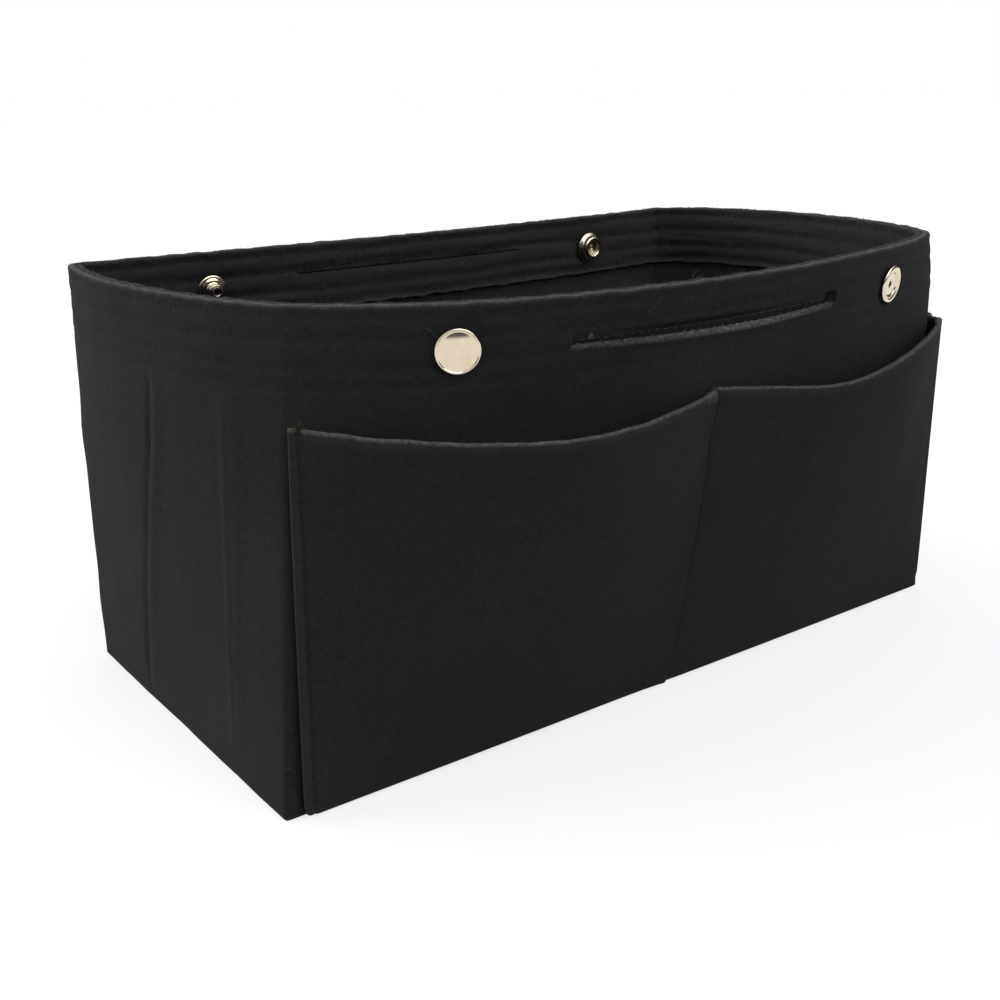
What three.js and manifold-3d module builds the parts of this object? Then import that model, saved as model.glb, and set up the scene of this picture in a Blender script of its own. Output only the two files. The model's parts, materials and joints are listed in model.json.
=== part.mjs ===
// Purse organizer insert: an open felt tray with gusseted ends, felt pockets and four press snaps.
// Millimetres. X runs along the front, Y from the front to the back, Z up.
// The origin is the middle of the base, on the table. The felt is shown as it stands by itself,
// with its rim a little bulged at the front and at the right end.
import * as THREE from 'three';
import { mergeVertices } from 'three/addons/utils/BufferGeometryUtils.js';
import Module from 'manifold-3d';

const wasm = await Module();
wasm.setup();

// Body
const length = 280;
const width = 146;
const height = 144;
const wall_felt = 2.5;
const facing_felt = 2;
const pocket_felt = 2.2;
const pocket_gap = 0.5;
const base_felt = 2.5;
const gap = 0.3;
const overrun = 6;

// Where the four corner folds end at the rim, measured inwards from the base corners
const front_left_in = 18;
const front_left_back = 14;
const front_right_in = 7;
const front_right_out = 3;
const back_right_in = 7;
const back_right_out = 1.5;
const back_left_in = 3.5;
const back_left_front = 4;

// Pull of the rim curve at each corner: along the wall, then outwards
const front_pull_left = 51;
const front_swell_left = 71;
const front_pull_right = 51;
const front_swell_right = 31;
const right_pull_front = 30;
const right_swell_front = 31;
const right_pull_back = 20;
const right_swell_back = 45;
const back_pull_right = 88;
const back_dip_right = 14;
const back_pull_left = 89;
const back_dip_left = 9;
const left_pull_back = 2;
const left_swell_back = 5;
const left_pull_front = 52;
const left_swell_front = 29;

// Facing inside the rim
const facing_height = 24.5;

// Gussets reach round the corners to these seams on the front and back
const seam_from_corner = 40;

// Hand slots through the front and back walls
const slot_length = 110;
const slot_height = 6.5;
const slot_below_rim = 13.5;

// Outer pockets, front and back. The height and sag of the mouth are given for each pocket,
// the left one first, and so is the bulge, which is how far the mouth stands open.
const pocket_edge = 5;
const pocket_height = 112;
const pocket_middle_drop = 3.5;
const front_left_pocket = { bulge: 14, sag: 3, fullness_share: 1.25, lean_share: 1.17 };
const front_right_pocket = { bulge: 10, sag: 7.5, fullness_share: 0.35, lean_share: 1.3 };
const back_pocket = { bulge: 9, sag: 5, fullness_share: 1, lean_share: 1 };
const pocket_rise_share = 0.7;

// Inner pockets, front and back
const inner_pocket_foot = 8;
const inner_pocket_height = 92;
const inner_pocket_margin = 5;
const inner_pocket_bulge = 11;
const inner_pocket_dip = 4;

// Round holder inside the left end
const holder_foot = 10;
const holder_top = 112;
const holder_width = 54;
const holder_off_centre = 17;
const holder_bulge = 30;

// Press snaps
const snap_from_corner = 49;
const snap_below_rim = 13;
const cap_radius = 6.5;
const cap_rise = 1.7;
const cap_rim = 0.5;
const post_radius = 1.9;
const post_wall = 0.45;
const post_flare = 0.35;
const flare_height = 0.4;
const socket_radius = 6.2;
const socket_depth = 3.6;
const socket_floor = 0.7;
const socket_bead = 0.7;
const stud_radius = 2.9;
const stud_neck = 0.3;
const stud_height = 3.4;
const stud_flange = 5.3;
const stud_plate = 0.8;
const ring_radius = 6.7;
const ring_rise = 1.2;
const ring_recess_radius = 3.6;
const ring_floor = 0.5;
const barrel_radius = 1.5;
const barrel_wall = 0.4;
const spring_wire = 0.35;

// Facets
const turn_steps = 24;
const hole_steps = 12;
const slot_end_steps = 6;
const spring_steps = 6;
const wall_columns = 20;
const wall_rows = 4;
const facing_rows = 2;
const corner_columns = 6;
const end_columns = 14;
const pocket_columns = 36;
const pocket_rows = 4;

// Finishes
const felt = { color: 0x26272a, roughness: 0.95, metalness: 0 };
const nickel = { color: 0xc9c1b0, roughness: 0.22, metalness: 1 };
const steel = { color: 0xa9a9ab, roughness: 0.35, metalness: 1 };

const organizer = new THREE.Group();

function lerp(a, b, share) {
  return a + (b - a) * share;
}

function even_shares(count) {
  return Array.from({ length: count + 1 }, (_, i) => i / count);
}

// The four walls: each has its straight base edge and its rim curve, both run anticlockwise.

const base_corners = {
  front_left: new THREE.Vector2(-length / 2, -width / 2),
  front_right: new THREE.Vector2(length / 2, -width / 2),
  back_right: new THREE.Vector2(length / 2, width / 2),
  back_left: new THREE.Vector2(-length / 2, width / 2),
};

function moved(corner, x, y) {
  return new THREE.Vector2(corner.x + x, corner.y + y);
}

const rim_corners = {
  front_left: moved(base_corners.front_left, front_left_in, front_left_back),
  front_right: moved(base_corners.front_right, -front_right_in, -front_right_out),
  back_right: moved(base_corners.back_right, -back_right_in, back_right_out),
  back_left: moved(base_corners.back_left, back_left_in, -back_left_front),
};

function wall_edges(from, to, from_pull, to_pull) {
  const start = rim_corners[from];
  const end = rim_corners[to];
  return {
    base: new THREE.LineCurve(base_corners[from], base_corners[to]),
    rim: new THREE.CubicBezierCurve(start, start.clone().add(from_pull), end.clone().add(to_pull), end),
  };
}

const walls = {
  front: wall_edges(
    'front_left',
    'front_right',
    new THREE.Vector2(front_pull_left, -front_swell_left),
    new THREE.Vector2(-front_pull_right, -front_swell_right),
  ),
  right: wall_edges(
    'front_right',
    'back_right',
    new THREE.Vector2(right_swell_front, right_pull_front),
    new THREE.Vector2(right_swell_back, -right_pull_back),
  ),
  back: wall_edges(
    'back_right',
    'back_left',
    new THREE.Vector2(-back_pull_right, -back_dip_right),
    new THREE.Vector2(back_pull_left, -back_dip_left),
  ),
  left: wall_edges(
    'back_left',
    'front_left',
    new THREE.Vector2(-left_swell_back, -left_pull_back),
    new THREE.Vector2(-left_swell_front, left_pull_front),
  ),
};

// A place on the outer face: a wall, the share of the way along it, and a height
function outer_face(place, z) {
  const wall = walls[place.wall];
  const low = wall.base.getPointAt(place.share);
  return low.lerp(wall.rim.getPointAt(place.share), z / height);
}

function along(wall, from, to, columns) {
  const places = [];
  for (let i = 0; i <= columns; i += 1) {
    places.push({ wall, share: lerp(from, to, i / columns) });
  }
  return places;
}

const step_share = 1 / 100;

// The way a wall runs at a place on it
function run_at({ wall, share }, z) {
  const ahead = outer_face({ wall, share: Math.min(share + step_share, 1) }, z);
  return ahead.sub(outer_face({ wall, share: Math.max(share - step_share, 0) }, z));
}

// Outward direction in plan at place i, mitred where the track turns a corner
function outward(track, i, z) {
  const here = outer_face(track[i], z);
  const inside = i > 0 && i < track.length - 1;
  const runs = inside
    ? [here.clone().sub(outer_face(track[i - 1], z)), outer_face(track[i + 1], z).sub(here)]
    : [run_at(track[i], z)];
  const normals = runs.map((run) => new THREE.Vector2(run.y, -run.x).normalize());
  const out = normals.reduce((sum, normal) => sum.add(normal), new THREE.Vector2()).normalize();
  return { here, out: out.divideScalar(out.dot(normals[0])) };
}

// A sheet of felt on the track. foot and top give its edges, face how far its outer side stands
// out from the outer face of the wall. Each is a function of the share along and the share up.
// up_shares are the heights of its rows.
function sheet({ track, up_shares, thick, foot, top, face }) {
  const columns = track.length - 1;
  const rows = up_shares.length - 1;
  const geometry = new THREE.BoxGeometry(1, 1, 1, columns, 1, rows);
  const place = geometry.attributes.position;
  for (let v = 0; v < place.count; v += 1) {
    const i = Math.round((place.getX(v) + 1 / 2) * columns);
    const along_share = i / columns;
    const up_share = up_shares[Math.round((place.getZ(v) + 1 / 2) * rows)];
    const z = lerp(foot(along_share), top(along_share), up_share);
    const { here, out } = outward(track, i, z);
    const proud = face(along_share, up_share) - (place.getY(v) > 0 ? thick : 0);
    place.setXYZ(v, here.x + out.x * proud, here.y + out.y * proud, z);
  }
  return merged(geometry);
}

function merged(geometry) {
  const bare = geometry.clone();
  bare.deleteAttribute('normal');
  bare.deleteAttribute('uv');
  return mergeVertices(bare);
}

// Joining and cutting closed meshes

function to_solid(geometry) {
  const closed = merged(geometry);
  return new wasm.Manifold(new wasm.Mesh({
    numProp: 3,
    vertProperties: new Float32Array(closed.attributes.position.array),
    triVerts: new Uint32Array(closed.index.array),
  }));
}

function cut(geometry, cutters) {
  let solid = to_solid(geometry);
  for (const cutter of cutters) {
    solid = solid.subtract(to_solid(cutter));
  }
  const mesh = solid.getMesh();
  const result = new THREE.BufferGeometry();
  result.setAttribute('position', new THREE.BufferAttribute(mesh.vertProperties, 3));
  result.setIndex(new THREE.BufferAttribute(mesh.triVerts, 1));
  return result;
}

function add(name, geometry, finish, parent = organizer) {
  const shown = geometry.clone();
  shown.computeVertexNormals();
  const mesh = new THREE.Mesh(shown, new THREE.MeshStandardMaterial(finish));
  mesh.name = name;
  parent.add(mesh);
  return mesh;
}

// Tracks round the tray

const seam_share = seam_from_corner / length;
const seam_gap_share = gap / 2 / length;

function panel_track(wall) {
  return along(wall, seam_share + seam_gap_share, 1 - seam_share - seam_gap_share, wall_columns);
}

// A gusset runs from the seam before its end, round both corners, to the seam after it
function gusset_track(before, end, after) {
  const first = along(before, 1 - seam_share + seam_gap_share, 1, corner_columns);
  const middle = along(end, 0, 1, end_columns).slice(1);
  const last = along(after, 0, seam_share - seam_gap_share, corner_columns).slice(1);
  return [...first, ...middle, ...last];
}

const tracks = {
  front: panel_track('front'),
  back: panel_track('back'),
  left: gusset_track('back', 'left', 'front'),
  right: gusset_track('front', 'right', 'back'),
};

// Hand slots

const slot_z = height - slot_below_rim;

function slot_cutter(wall) {
  const radius = slot_height / 2;
  const half = slot_length / 2 - radius;
  const outline = new THREE.Shape();
  outline.absarc(half, 0, radius, -Math.PI / 2, Math.PI / 2, false);
  outline.absarc(-half, 0, radius, Math.PI / 2, (3 * Math.PI) / 2, false);
  const depth = width / 2;
  const middle = outer_face({ wall, share: 1 / 2 }, slot_z);
  const shape = { depth, bevelEnabled: false, curveSegments: slot_end_steps };
  const cutter = new THREE.ExtrudeGeometry(outline, shape);
  cutter.translate(0, 0, -depth / 2);
  cutter.rotateX(Math.PI / 2);
  cutter.translate(middle.x, middle.y, slot_z);
  return cutter;
}

// Snap seats: a frame on the outer face with its Z axis pointing out of the felt

const snap_z = height - snap_below_rim;
const snap_share = snap_from_corner / length;

function snap_seat(wall, share) {
  const place = { wall, share };
  const at = (z) => new THREE.Vector3(...outer_face(place, z), z);
  const run = new THREE.Vector3(...run_at(place, snap_z), 0);
  const rise = at(height).sub(at(0));
  const seat = new THREE.Group();
  seat.position.copy(at(snap_z));
  const out = run.clone().cross(rise).normalize();
  const up = out.clone().cross(run).normalize();
  seat.quaternion.setFromRotationMatrix(new THREE.Matrix4().makeBasis(run.normalize(), up, out));
  seat.updateMatrixWorld();
  organizer.add(seat);
  return seat;
}

const seats = {
  front_left: snap_seat('front', snap_share),
  front_right: snap_seat('front', 1 - snap_share),
  back_right: snap_seat('back', snap_share),
  back_left: snap_seat('back', 1 - snap_share),
};

function turned(points) {
  const profile = points.map(([radius, z]) => new THREE.Vector2(radius, z));
  const geometry = new THREE.LatheGeometry(profile, turn_steps);
  geometry.rotateX(Math.PI / 2);
  return merged(geometry);
}

function snap_hole(seat, radius) {
  const hole = new THREE.CylinderGeometry(radius, radius, snap_hole_depth, hole_steps);
  hole.rotateX(Math.PI / 2);
  hole.applyMatrix4(seat.matrixWorld);
  return hole;
}

const snap_hole_radius = post_radius + gap;
const snap_hole_depth = (wall_felt + facing_felt + overrun) * 2;
const snap_holes = {
  front: [snap_hole(seats.front_left, snap_hole_radius), snap_hole(seats.front_right, snap_hole_radius)],
  back: [snap_hole(seats.back_left, snap_hole_radius), snap_hole(seats.back_right, snap_hole_radius)],
};

// Walls, gussets and facings

const facing_face = -(wall_felt + gap);
const facing_share = facing_height / height;
const facing_row_shares = even_shares(facing_rows);
const wall_row_shares = [
  ...even_shares(wall_rows).map((share) => share * (1 - facing_share)),
  ...facing_row_shares.slice(1).map((share) => lerp(1 - facing_share, 1, share)),
];

function wall_sheet(side) {
  return sheet({
    track: tracks[side],
    up_shares: wall_row_shares,
    thick: wall_felt,
    foot: () => 0,
    top: () => height,
    face: () => 0,
  });
}

function facing_sheet(side) {
  return sheet({
    track: tracks[side],
    up_shares: facing_row_shares,
    thick: facing_felt,
    foot: () => height - facing_height,
    top: () => height,
    face: () => facing_face,
  });
}

for (const side of ['front', 'back']) {
  const cutters = [slot_cutter(side), ...snap_holes[side]];
  add(`${side}_wall`, cut(wall_sheet(side), cutters), felt);
  add(`${side}_facing`, cut(facing_sheet(side), cutters), felt);
}
for (const side of ['left', 'right']) {
  add(`${side}_end_gusset`, wall_sheet(side), felt);
  add(`${side}_end_facing`, facing_sheet(side), felt);
}

// Base

function base_panel() {
  const in_x = length / 2 - wall_felt - gap;
  const in_y = width / 2 - wall_felt - gap;
  const outline = new THREE.Shape();
  outline.moveTo(-in_x, -in_y);
  outline.lineTo(in_x, -in_y);
  outline.lineTo(in_x, in_y);
  outline.lineTo(-in_x, in_y);
  return new THREE.ExtrudeGeometry(outline, { depth: base_felt, bevelEnabled: false });
}
add('base_panel', base_panel(), felt);

// Pockets: one felt panel on each side, stitched down its two edges, its middle and its foot

// 0 at each stitch line and 1 between two of them, at the middle unless the shape leans
function swell(along_share, count, lean_share = 1) {
  const pocket_share = (along_share * count) % 1;
  return Math.sin(Math.PI * pocket_share ** lean_share);
}

function outer_pocket(wall, pockets) {
  const edge_share = pocket_edge / length;
  const pocket_at = (share) => pockets[Math.min(Math.floor(share * 2), 1)];
  const full = (share) => swell(share, 2, pocket_at(share).lean_share);
  const drop = (share) => pocket_middle_drop * swell(share, 1) + pocket_at(share).sag * full(share);
  return sheet({
    track: along(wall, edge_share, 1 - edge_share, pocket_columns),
    up_shares: even_shares(pocket_rows),
    thick: pocket_felt,
    foot: () => 0,
    top: (share) => pocket_height - drop(share),
    face: (share, up) => {
      const { bulge, fullness_share } = pocket_at(share);
      return pocket_gap + pocket_felt + bulge * full(share) ** fullness_share * up ** pocket_rise_share;
    },
  });
}

function inner_pocket(wall, count) {
  const edge_share = (seam_from_corner + inner_pocket_margin) / length;
  return sheet({
    track: along(wall, edge_share, 1 - edge_share, pocket_columns - (pocket_columns % count)),
    up_shares: even_shares(pocket_rows),
    thick: pocket_felt,
    foot: () => inner_pocket_foot,
    top: (share) => inner_pocket_height - inner_pocket_dip * swell(share, count),
    face: (share, up) => facing_face - inner_pocket_bulge * swell(share, count) * up,
  });
}

add('front_pocket_panel', outer_pocket('front', [front_left_pocket, front_right_pocket]), felt);
add('back_pocket_panel', outer_pocket('back', [back_pocket, back_pocket]), felt);
add('front_inner_pocket_panel', inner_pocket('front', 2), felt);
add('back_inner_pocket_panel', inner_pocket('back', 3), felt);

function end_holder() {
  const middle_share = 1 / 2 + holder_off_centre / width;
  const half_share = holder_width / 2 / width;
  return sheet({
    track: along('left', middle_share - half_share, middle_share + half_share, end_columns),
    up_shares: even_shares(pocket_rows),
    thick: pocket_felt,
    foot: () => holder_foot,
    top: () => holder_top,
    face: (share) => facing_face - holder_bulge * swell(share, 1) ** (2 / 3),
  });
}
add('left_end_holder', end_holder(), felt);

// Snap pieces, turned about the axis of their seat

const felt_stack = wall_felt + gap + facing_felt;
const dome_shares = [[0, 1], [0.35, 0.97], [0.65, 0.86], [0.86, 0.64], [0.96, 0.4]];

function cap() {
  const bore = post_radius - post_wall;
  const post_end = -(felt_stack + gap + socket_floor + gap + flare_height);
  const dome = dome_shares.map(([r, z]) => [cap_radius * r, gap + cap_rim + (cap_rise - cap_rim) * z]);
  return turned([
    [0, -cap_rim],
    [bore, -cap_rim],
    [bore, post_end],
    [post_radius + post_flare, post_end],
    [post_radius + post_flare, post_end + flare_height / 2],
    [post_radius, post_end + flare_height],
    [post_radius, gap],
    [cap_radius - cap_rim, gap],
    [cap_radius, gap + cap_rim],
    ...dome.reverse(),
  ]);
}

const socket_top = -(felt_stack + gap);
const socket_mouth = socket_top - socket_depth;
const socket_bore = stud_radius + gap;
const spring_ring = socket_bore + spring_wire;
const spring_groove = spring_ring + spring_wire + gap;
const spring_z = socket_top - socket_depth * (2 / 3);

function socket() {
  const hole = post_radius + gap;
  const groove = spring_wire + gap;
  return turned([
    [hole, socket_top],
    [hole, socket_top - socket_floor],
    [socket_bore, socket_top - socket_floor],
    [socket_bore, spring_z + groove],
    [spring_groove, spring_z + groove],
    [spring_groove, spring_z - groove],
    [socket_bore, spring_z - groove],
    [socket_bore, socket_mouth + socket_bead / 2],
    [socket_bore + socket_bead / 2, socket_mouth],
    [socket_bore + socket_bead * 2, socket_mouth],
    [socket_bore + socket_bead * 3, socket_mouth + socket_bead],
    [socket_radius - socket_bead, socket_top - socket_bead * 2],
    [socket_radius, socket_top - socket_bead],
    [socket_radius - socket_bead / 2, socket_top],
    [hole, socket_top],
  ]);
}

function socket_spring() {
  const ring = new THREE.TorusGeometry(spring_ring, spring_wire, spring_steps, turn_steps);
  ring.translate(0, 0, spring_z);
  return merged(ring);
}

const stud_top = -(felt_stack + gap);
const stud_tip = stud_top - stud_plate - stud_height;

function stud() {
  const bore = barrel_radius + gap;
  const neck = stud_radius - stud_neck;
  return turned([
    [bore, stud_top],
    [bore, stud_tip],
    [neck, stud_tip],
    [stud_radius, stud_tip + stud_neck * 2],
    [stud_radius, stud_tip + stud_height / 2],
    [neck, stud_top - stud_plate - stud_neck],
    [neck + stud_neck, stud_top - stud_plate],
    [stud_flange - stud_plate / 2, stud_top - stud_plate],
    [stud_flange, stud_top - stud_plate / 2],
    [stud_flange - stud_plate / 2, stud_top],
    [bore, stud_top],
  ]);
}

function ring_post() {
  const bore = barrel_radius - barrel_wall;
  const end = stud_tip - gap - flare_height;
  return turned([
    [bore, gap + ring_floor],
    [bore, end],
    [barrel_radius + post_flare, end],
    [barrel_radius + post_flare, end + flare_height / 2],
    [barrel_radius, end + flare_height],
    [barrel_radius, gap],
    [ring_radius - ring_floor, gap],
    [ring_radius, gap + ring_floor],
    [ring_radius - ring_floor / 2, gap + ring_rise * (3 / 4)],
    [(ring_radius + ring_recess_radius) / 2, gap + ring_rise],
    [ring_recess_radius + ring_floor, gap + ring_rise * (3 / 4)],
    [ring_recess_radius, gap + ring_floor],
    [bore, gap + ring_floor],
  ]);
}

for (const corner of ['front_left', 'back_right']) {
  add(`${corner}_snap_cap`, cap(), nickel, seats[corner]);
  add(`${corner}_snap_socket`, socket(), nickel, seats[corner]);
  add(`${corner}_snap_spring`, socket_spring(), steel, seats[corner]);
}
for (const corner of ['front_right', 'back_left']) {
  add(`${corner}_snap_ring`, ring_post(), nickel, seats[corner]);
  add(`${corner}_snap_stud`, stud(), nickel, seats[corner]);
}

export default organizer;
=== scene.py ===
import json
import math

import bmesh
import bpy
import numpy as np
from bpy.props import FloatProperty, FloatVectorProperty, IntProperty, PointerProperty
from mathutils import Matrix, Vector

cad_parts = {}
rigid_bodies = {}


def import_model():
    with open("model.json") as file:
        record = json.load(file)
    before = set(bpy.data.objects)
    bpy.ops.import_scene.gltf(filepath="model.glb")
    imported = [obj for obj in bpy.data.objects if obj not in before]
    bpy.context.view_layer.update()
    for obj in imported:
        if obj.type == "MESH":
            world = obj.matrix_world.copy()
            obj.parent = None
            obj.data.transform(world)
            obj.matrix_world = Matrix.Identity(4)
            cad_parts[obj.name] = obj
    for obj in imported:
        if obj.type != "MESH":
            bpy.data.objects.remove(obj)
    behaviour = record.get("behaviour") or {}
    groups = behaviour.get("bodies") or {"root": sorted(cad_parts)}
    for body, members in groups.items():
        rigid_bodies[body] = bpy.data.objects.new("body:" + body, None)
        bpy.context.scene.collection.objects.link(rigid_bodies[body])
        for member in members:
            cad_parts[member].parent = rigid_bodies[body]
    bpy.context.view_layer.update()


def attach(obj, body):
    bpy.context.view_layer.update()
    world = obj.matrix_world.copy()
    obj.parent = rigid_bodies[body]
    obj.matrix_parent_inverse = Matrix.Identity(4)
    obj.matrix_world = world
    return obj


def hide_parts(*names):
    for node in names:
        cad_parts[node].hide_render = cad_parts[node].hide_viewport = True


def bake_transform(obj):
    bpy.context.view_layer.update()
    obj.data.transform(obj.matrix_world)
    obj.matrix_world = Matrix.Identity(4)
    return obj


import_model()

bl_info = {
    "name": "Purse organizer insert",
    "version": (1, 0, 0),
    "blender": (4, 5, 0),
    "location": "3D View > Sidebar > Organizer",
    "description": "Builds a felt purse organizer with pockets, hand slots and press snaps",
    "category": "Object",
}

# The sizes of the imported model, in millimetres. X runs along the front, Y to the back, Z up.

MM = 0.001
LENGTH, WIDTH, HEIGHT = 280.0, 146.0, 144.0
WALL_FELT, FACING_FELT, POCKET_FELT, BASE_FELT = 2.5, 2.0, 2.2, 2.5
GAP = 0.3
HEM_DEPTH = WALL_FELT + GAP + FACING_FELT
HEM_HEIGHT = 24.5
SEAM_FROM_CORNER = 40.0
POCKET_EDGE, POCKET_HEIGHT, POCKET_GAP = 5.0, 112.0, 0.5
SNAP_FROM_CORNER, SNAP_BELOW_RIM = 49.0, 13.0

# The walls stand anticlockwise: front, right, back, left. A place along them is the number of
# the wall plus the share of the way along it, so 0 is the front left corner and 2.5 the middle
# of the back. Each wall is ruled between its straight base edge and its rim curve.

FRONT, RIGHT, BACK, LEFT = 0, 1, 2, 3
BASE_CORNERS = np.array([[-140, -73], [140, -73], [140, 73], [-140, 73]], float)
RIM_CORNERS = np.array([[-122, -59], [133, -76], [133, 74.5], [-136.5, 69]], float)
RIM_PULLS = (
    ((51, -71), (-51, -31)),
    ((31, 30), (45, -20)),
    ((-88, -14), (89, -9)),
    ((-5, -2), (-29, 52)),
)
SAMPLES = 400
LEVELS = 49
FOLD_SOFTNESS = (0.8, 1.0)  # at the base and at the rim
MITRE_REACH = 18.0

# How far the soft walls stand off the ruled shape: at each place, the x and y at each height
STANCE_HEIGHTS = (0, 50, 90, 120, 144)
STANCE = {
    0.0: ((-1.0, -0.8), (-0.8, -0.5), (-0.6, -0.3), (-0.3, -0.2), (0.0, 0.0)),
    0.5: ((0.0, -1.0), (0.0, -0.6), (0.0, -0.3), (0.0, 0.0), (0.0, 0.0)),
    1.0: ((1.8, -1.3), (2.0, -1.4), (2.3, -1.6), (2.6, -1.8), (0.9, -0.6)),
    1.5: ((1.0, 0.0), (0.8, 0.0), (0.5, 0.0), (0.0, 0.0), (0.0, 0.0)),
    2.0: ((0.0, 0.0),) * 5,
    3.0: ((-1.7, -0.3), (-2.3, 0.2), (-2.2, 0.4), (-1.3, 0.3), (-1.0, 0.2)),
    3.5: ((-1.6, 0.0), (-1.5, 0.0), (-1.0, 0.0), (-0.4, 0.0), (0.0, 0.0)),
}
# The rim stands a little higher at the back left
RIM_LIFT = ((0.0, 2.0, 2.5, 2.75, 3.0, 3.25, 4.0), (0.0, 0.0, 0.5, 0.9, 0.8, 0.0, 0.0))

# The rows of topstitching, measured down from the rim
STITCH_ROWS = (3.0, 9.3, 16.5, 22.0)


def even_steps(points, count):
    """The same line with count steps of equal length."""
    run = np.linalg.norm(np.diff(points, axis=0), axis=1)
    at = np.concatenate([[0.0], np.cumsum(run)]) / run.sum()
    wanted = np.linspace(0, 1, count + 1)
    return np.stack([np.interp(wanted, at, points[:, k]) for k in range(points.shape[1])], axis=1)


def wall_lines():
    """The base edge and the rim curve of each wall, at even steps."""
    base, rim = [], []
    s = np.linspace(0, 1, 600)[:, None]
    for wall in range(4):
        after = (wall + 1) % 4
        base.append(np.linspace(BASE_CORNERS[wall], BASE_CORNERS[after], SAMPLES + 1))
        a, d = RIM_CORNERS[wall], RIM_CORNERS[after]
        b, c = a + RIM_PULLS[wall][0], d + RIM_PULLS[wall][1]
        curve = (1 - s) ** 3 * a + 3 * (1 - s) ** 2 * s * b + 3 * (1 - s) * s**2 * c + s**3 * d
        rim.append(even_steps(curve, SAMPLES))
    return np.array(base), np.array(rim)


def level_tables(share_up, base, rim):
    """The outer face at one height, and how far each point of it moves for each millimetre out."""
    walls = base + (rim - base) * share_up
    tangents = np.gradient(walls, axis=1)
    tangents /= np.linalg.norm(tangents, axis=2, keepdims=True)
    normals = np.stack([tangents[..., 1], -tangents[..., 0]], axis=2)
    steps = np.linalg.norm(np.diff(walls, axis=1), axis=2)
    run = np.concatenate([np.zeros((4, 1)), np.cumsum(steps, axis=1)], axis=1)
    outward = normals.copy()
    for wall in range(4):
        after = (wall + 1) % 4
        turn = math.acos(np.clip(tangents[wall, -1] @ tangents[after, 0], -1, 1))
        mitre = math.tan(turn / 2)
        near_end = np.clip(1 - (run[wall, -1] - run[wall]) / MITRE_REACH, 0, 1)
        near_start = np.clip(1 - run[after] / MITRE_REACH, 0, 1)
        outward[wall] += tangents[wall] * (mitre * near_end)[:, None]
        outward[after] -= tangents[after] * (mitre * near_start)[:, None]
    face = walls[:, :-1].reshape(-1, 2)
    outward = outward[:, :-1].reshape(-1, 2)
    at_base, at_rim = FOLD_SOFTNESS
    return soften(face, outward, at_base + (at_rim - at_base) * share_up)


def soften(face, outward, width):
    """Rounds the corner folds by averaging along the line."""
    steps = np.linalg.norm(np.roll(face, -1, axis=0) - face, axis=1)
    at = np.concatenate([[0.0], np.cumsum(steps)])[:-1]
    once_round = steps.sum()
    taps = np.linspace(-2.5, 2.5, 17)
    weights = np.exp(-0.5 * taps**2)
    weights /= weights.sum()
    both = np.concatenate([face, outward], axis=1)
    result = np.zeros_like(both)
    for tap, weight in zip(taps, weights):
        for k in range(4):
            moved = np.interp(at + tap * width, at, both[:, k], period=once_round)
            result[:, k] += weight * moved
    return result


def stance_table():
    """The stance at every place of the face table, smooth up the wall and round the tray."""
    heights = np.arange(0, HEIGHT + 1)
    window = np.ones(17) / 17
    places = list(STANCE)
    result = np.zeros((LEVELS, 4 * SAMPLES, 2))
    for axis in range(2):
        at_places = []
        for values in STANCE.values():
            line = np.interp(heights, STANCE_HEIGHTS, [value[axis] for value in values])
            line = np.convolve(np.pad(line, 8, "edge"), window, "valid")
            at_places.append(np.interp(np.linspace(0, HEIGHT, LEVELS), heights, line))
        round_places = np.array(places + [4.0])
        round_values = np.array(at_places + [at_places[0]])
        t = np.arange(4 * SAMPLES) / SAMPLES
        for level in range(LEVELS):
            result[level, :, axis] = np.interp(t, round_places, round_values[:, level])
    return result


BASE_LINES, RIM_LINES = wall_lines()
FACE_TABLE = np.array(
    [level_tables(share, BASE_LINES, RIM_LINES) for share in np.linspace(0, 1, LEVELS)]
)
FACE_TABLE[:, :, :2] += stance_table()


def on_face(t, z, out=0.0):
    """Points in millimetres: t along the walls, z up, and out from the outer face."""
    t, z, out = np.broadcast_arrays(
        np.asarray(t, float), np.asarray(z, float), np.asarray(out, float)
    )
    level = np.clip(z / HEIGHT, 0, 1) * (LEVELS - 1)
    low = np.minimum(level.astype(int), LEVELS - 2)
    level = (level - low)[..., None]
    step = (t % 4) * SAMPLES
    i = step.astype(int) % (4 * SAMPLES)
    j = (i + 1) % (4 * SAMPLES)
    step = (step - np.floor(step))[..., None]
    here = FACE_TABLE[low, i] * (1 - step) + FACE_TABLE[low, j] * step
    above = FACE_TABLE[low + 1, i] * (1 - step) + FACE_TABLE[low + 1, j] * step
    both = here * (1 - level) + above * level
    xy = both[..., :2] + both[..., 2:] * out[..., None]
    lifted = z + np.interp(t % 4, *RIM_LIFT) * np.clip(z / HEIGHT, 0, 1) ** 3
    return np.concatenate([xy, lifted[..., None]], axis=-1)


def wall_length(wall, z=HEIGHT):
    line = BASE_LINES[wall] + (RIM_LINES[wall] - BASE_LINES[wall]) * (z / HEIGHT)
    return float(np.linalg.norm(np.diff(line, axis=0), axis=1).sum())


def ripple(x, y, wavelength, seed, waves=7):
    """A smooth random surface between about -1 and 1."""
    rng = np.random.default_rng(seed)
    total = np.zeros(np.broadcast(x, y).shape)
    for _ in range(waves):
        angle, phase = rng.uniform(0, math.tau, 2)
        length = wavelength * rng.uniform(0.6, 1.7)
        along = (x * math.cos(angle) + y * math.sin(angle)) * math.tau / length
        total = total + np.sin(along + phase)
    return total / math.sqrt(waves)


PERIMETER = 2 * (LENGTH + WIDTH)
WALL_STARTS = (0.0, LENGTH, LENGTH + WIDTH, 2 * LENGTH + WIDTH, PERIMETER)


def run_along(t):
    """The way round the base in millimetres, from the front left corner, for a place t."""
    turns = np.floor(np.asarray(t) / 4)
    return turns * PERIMETER + np.interp(t - 4 * turns, range(5), WALL_STARTS)


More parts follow.
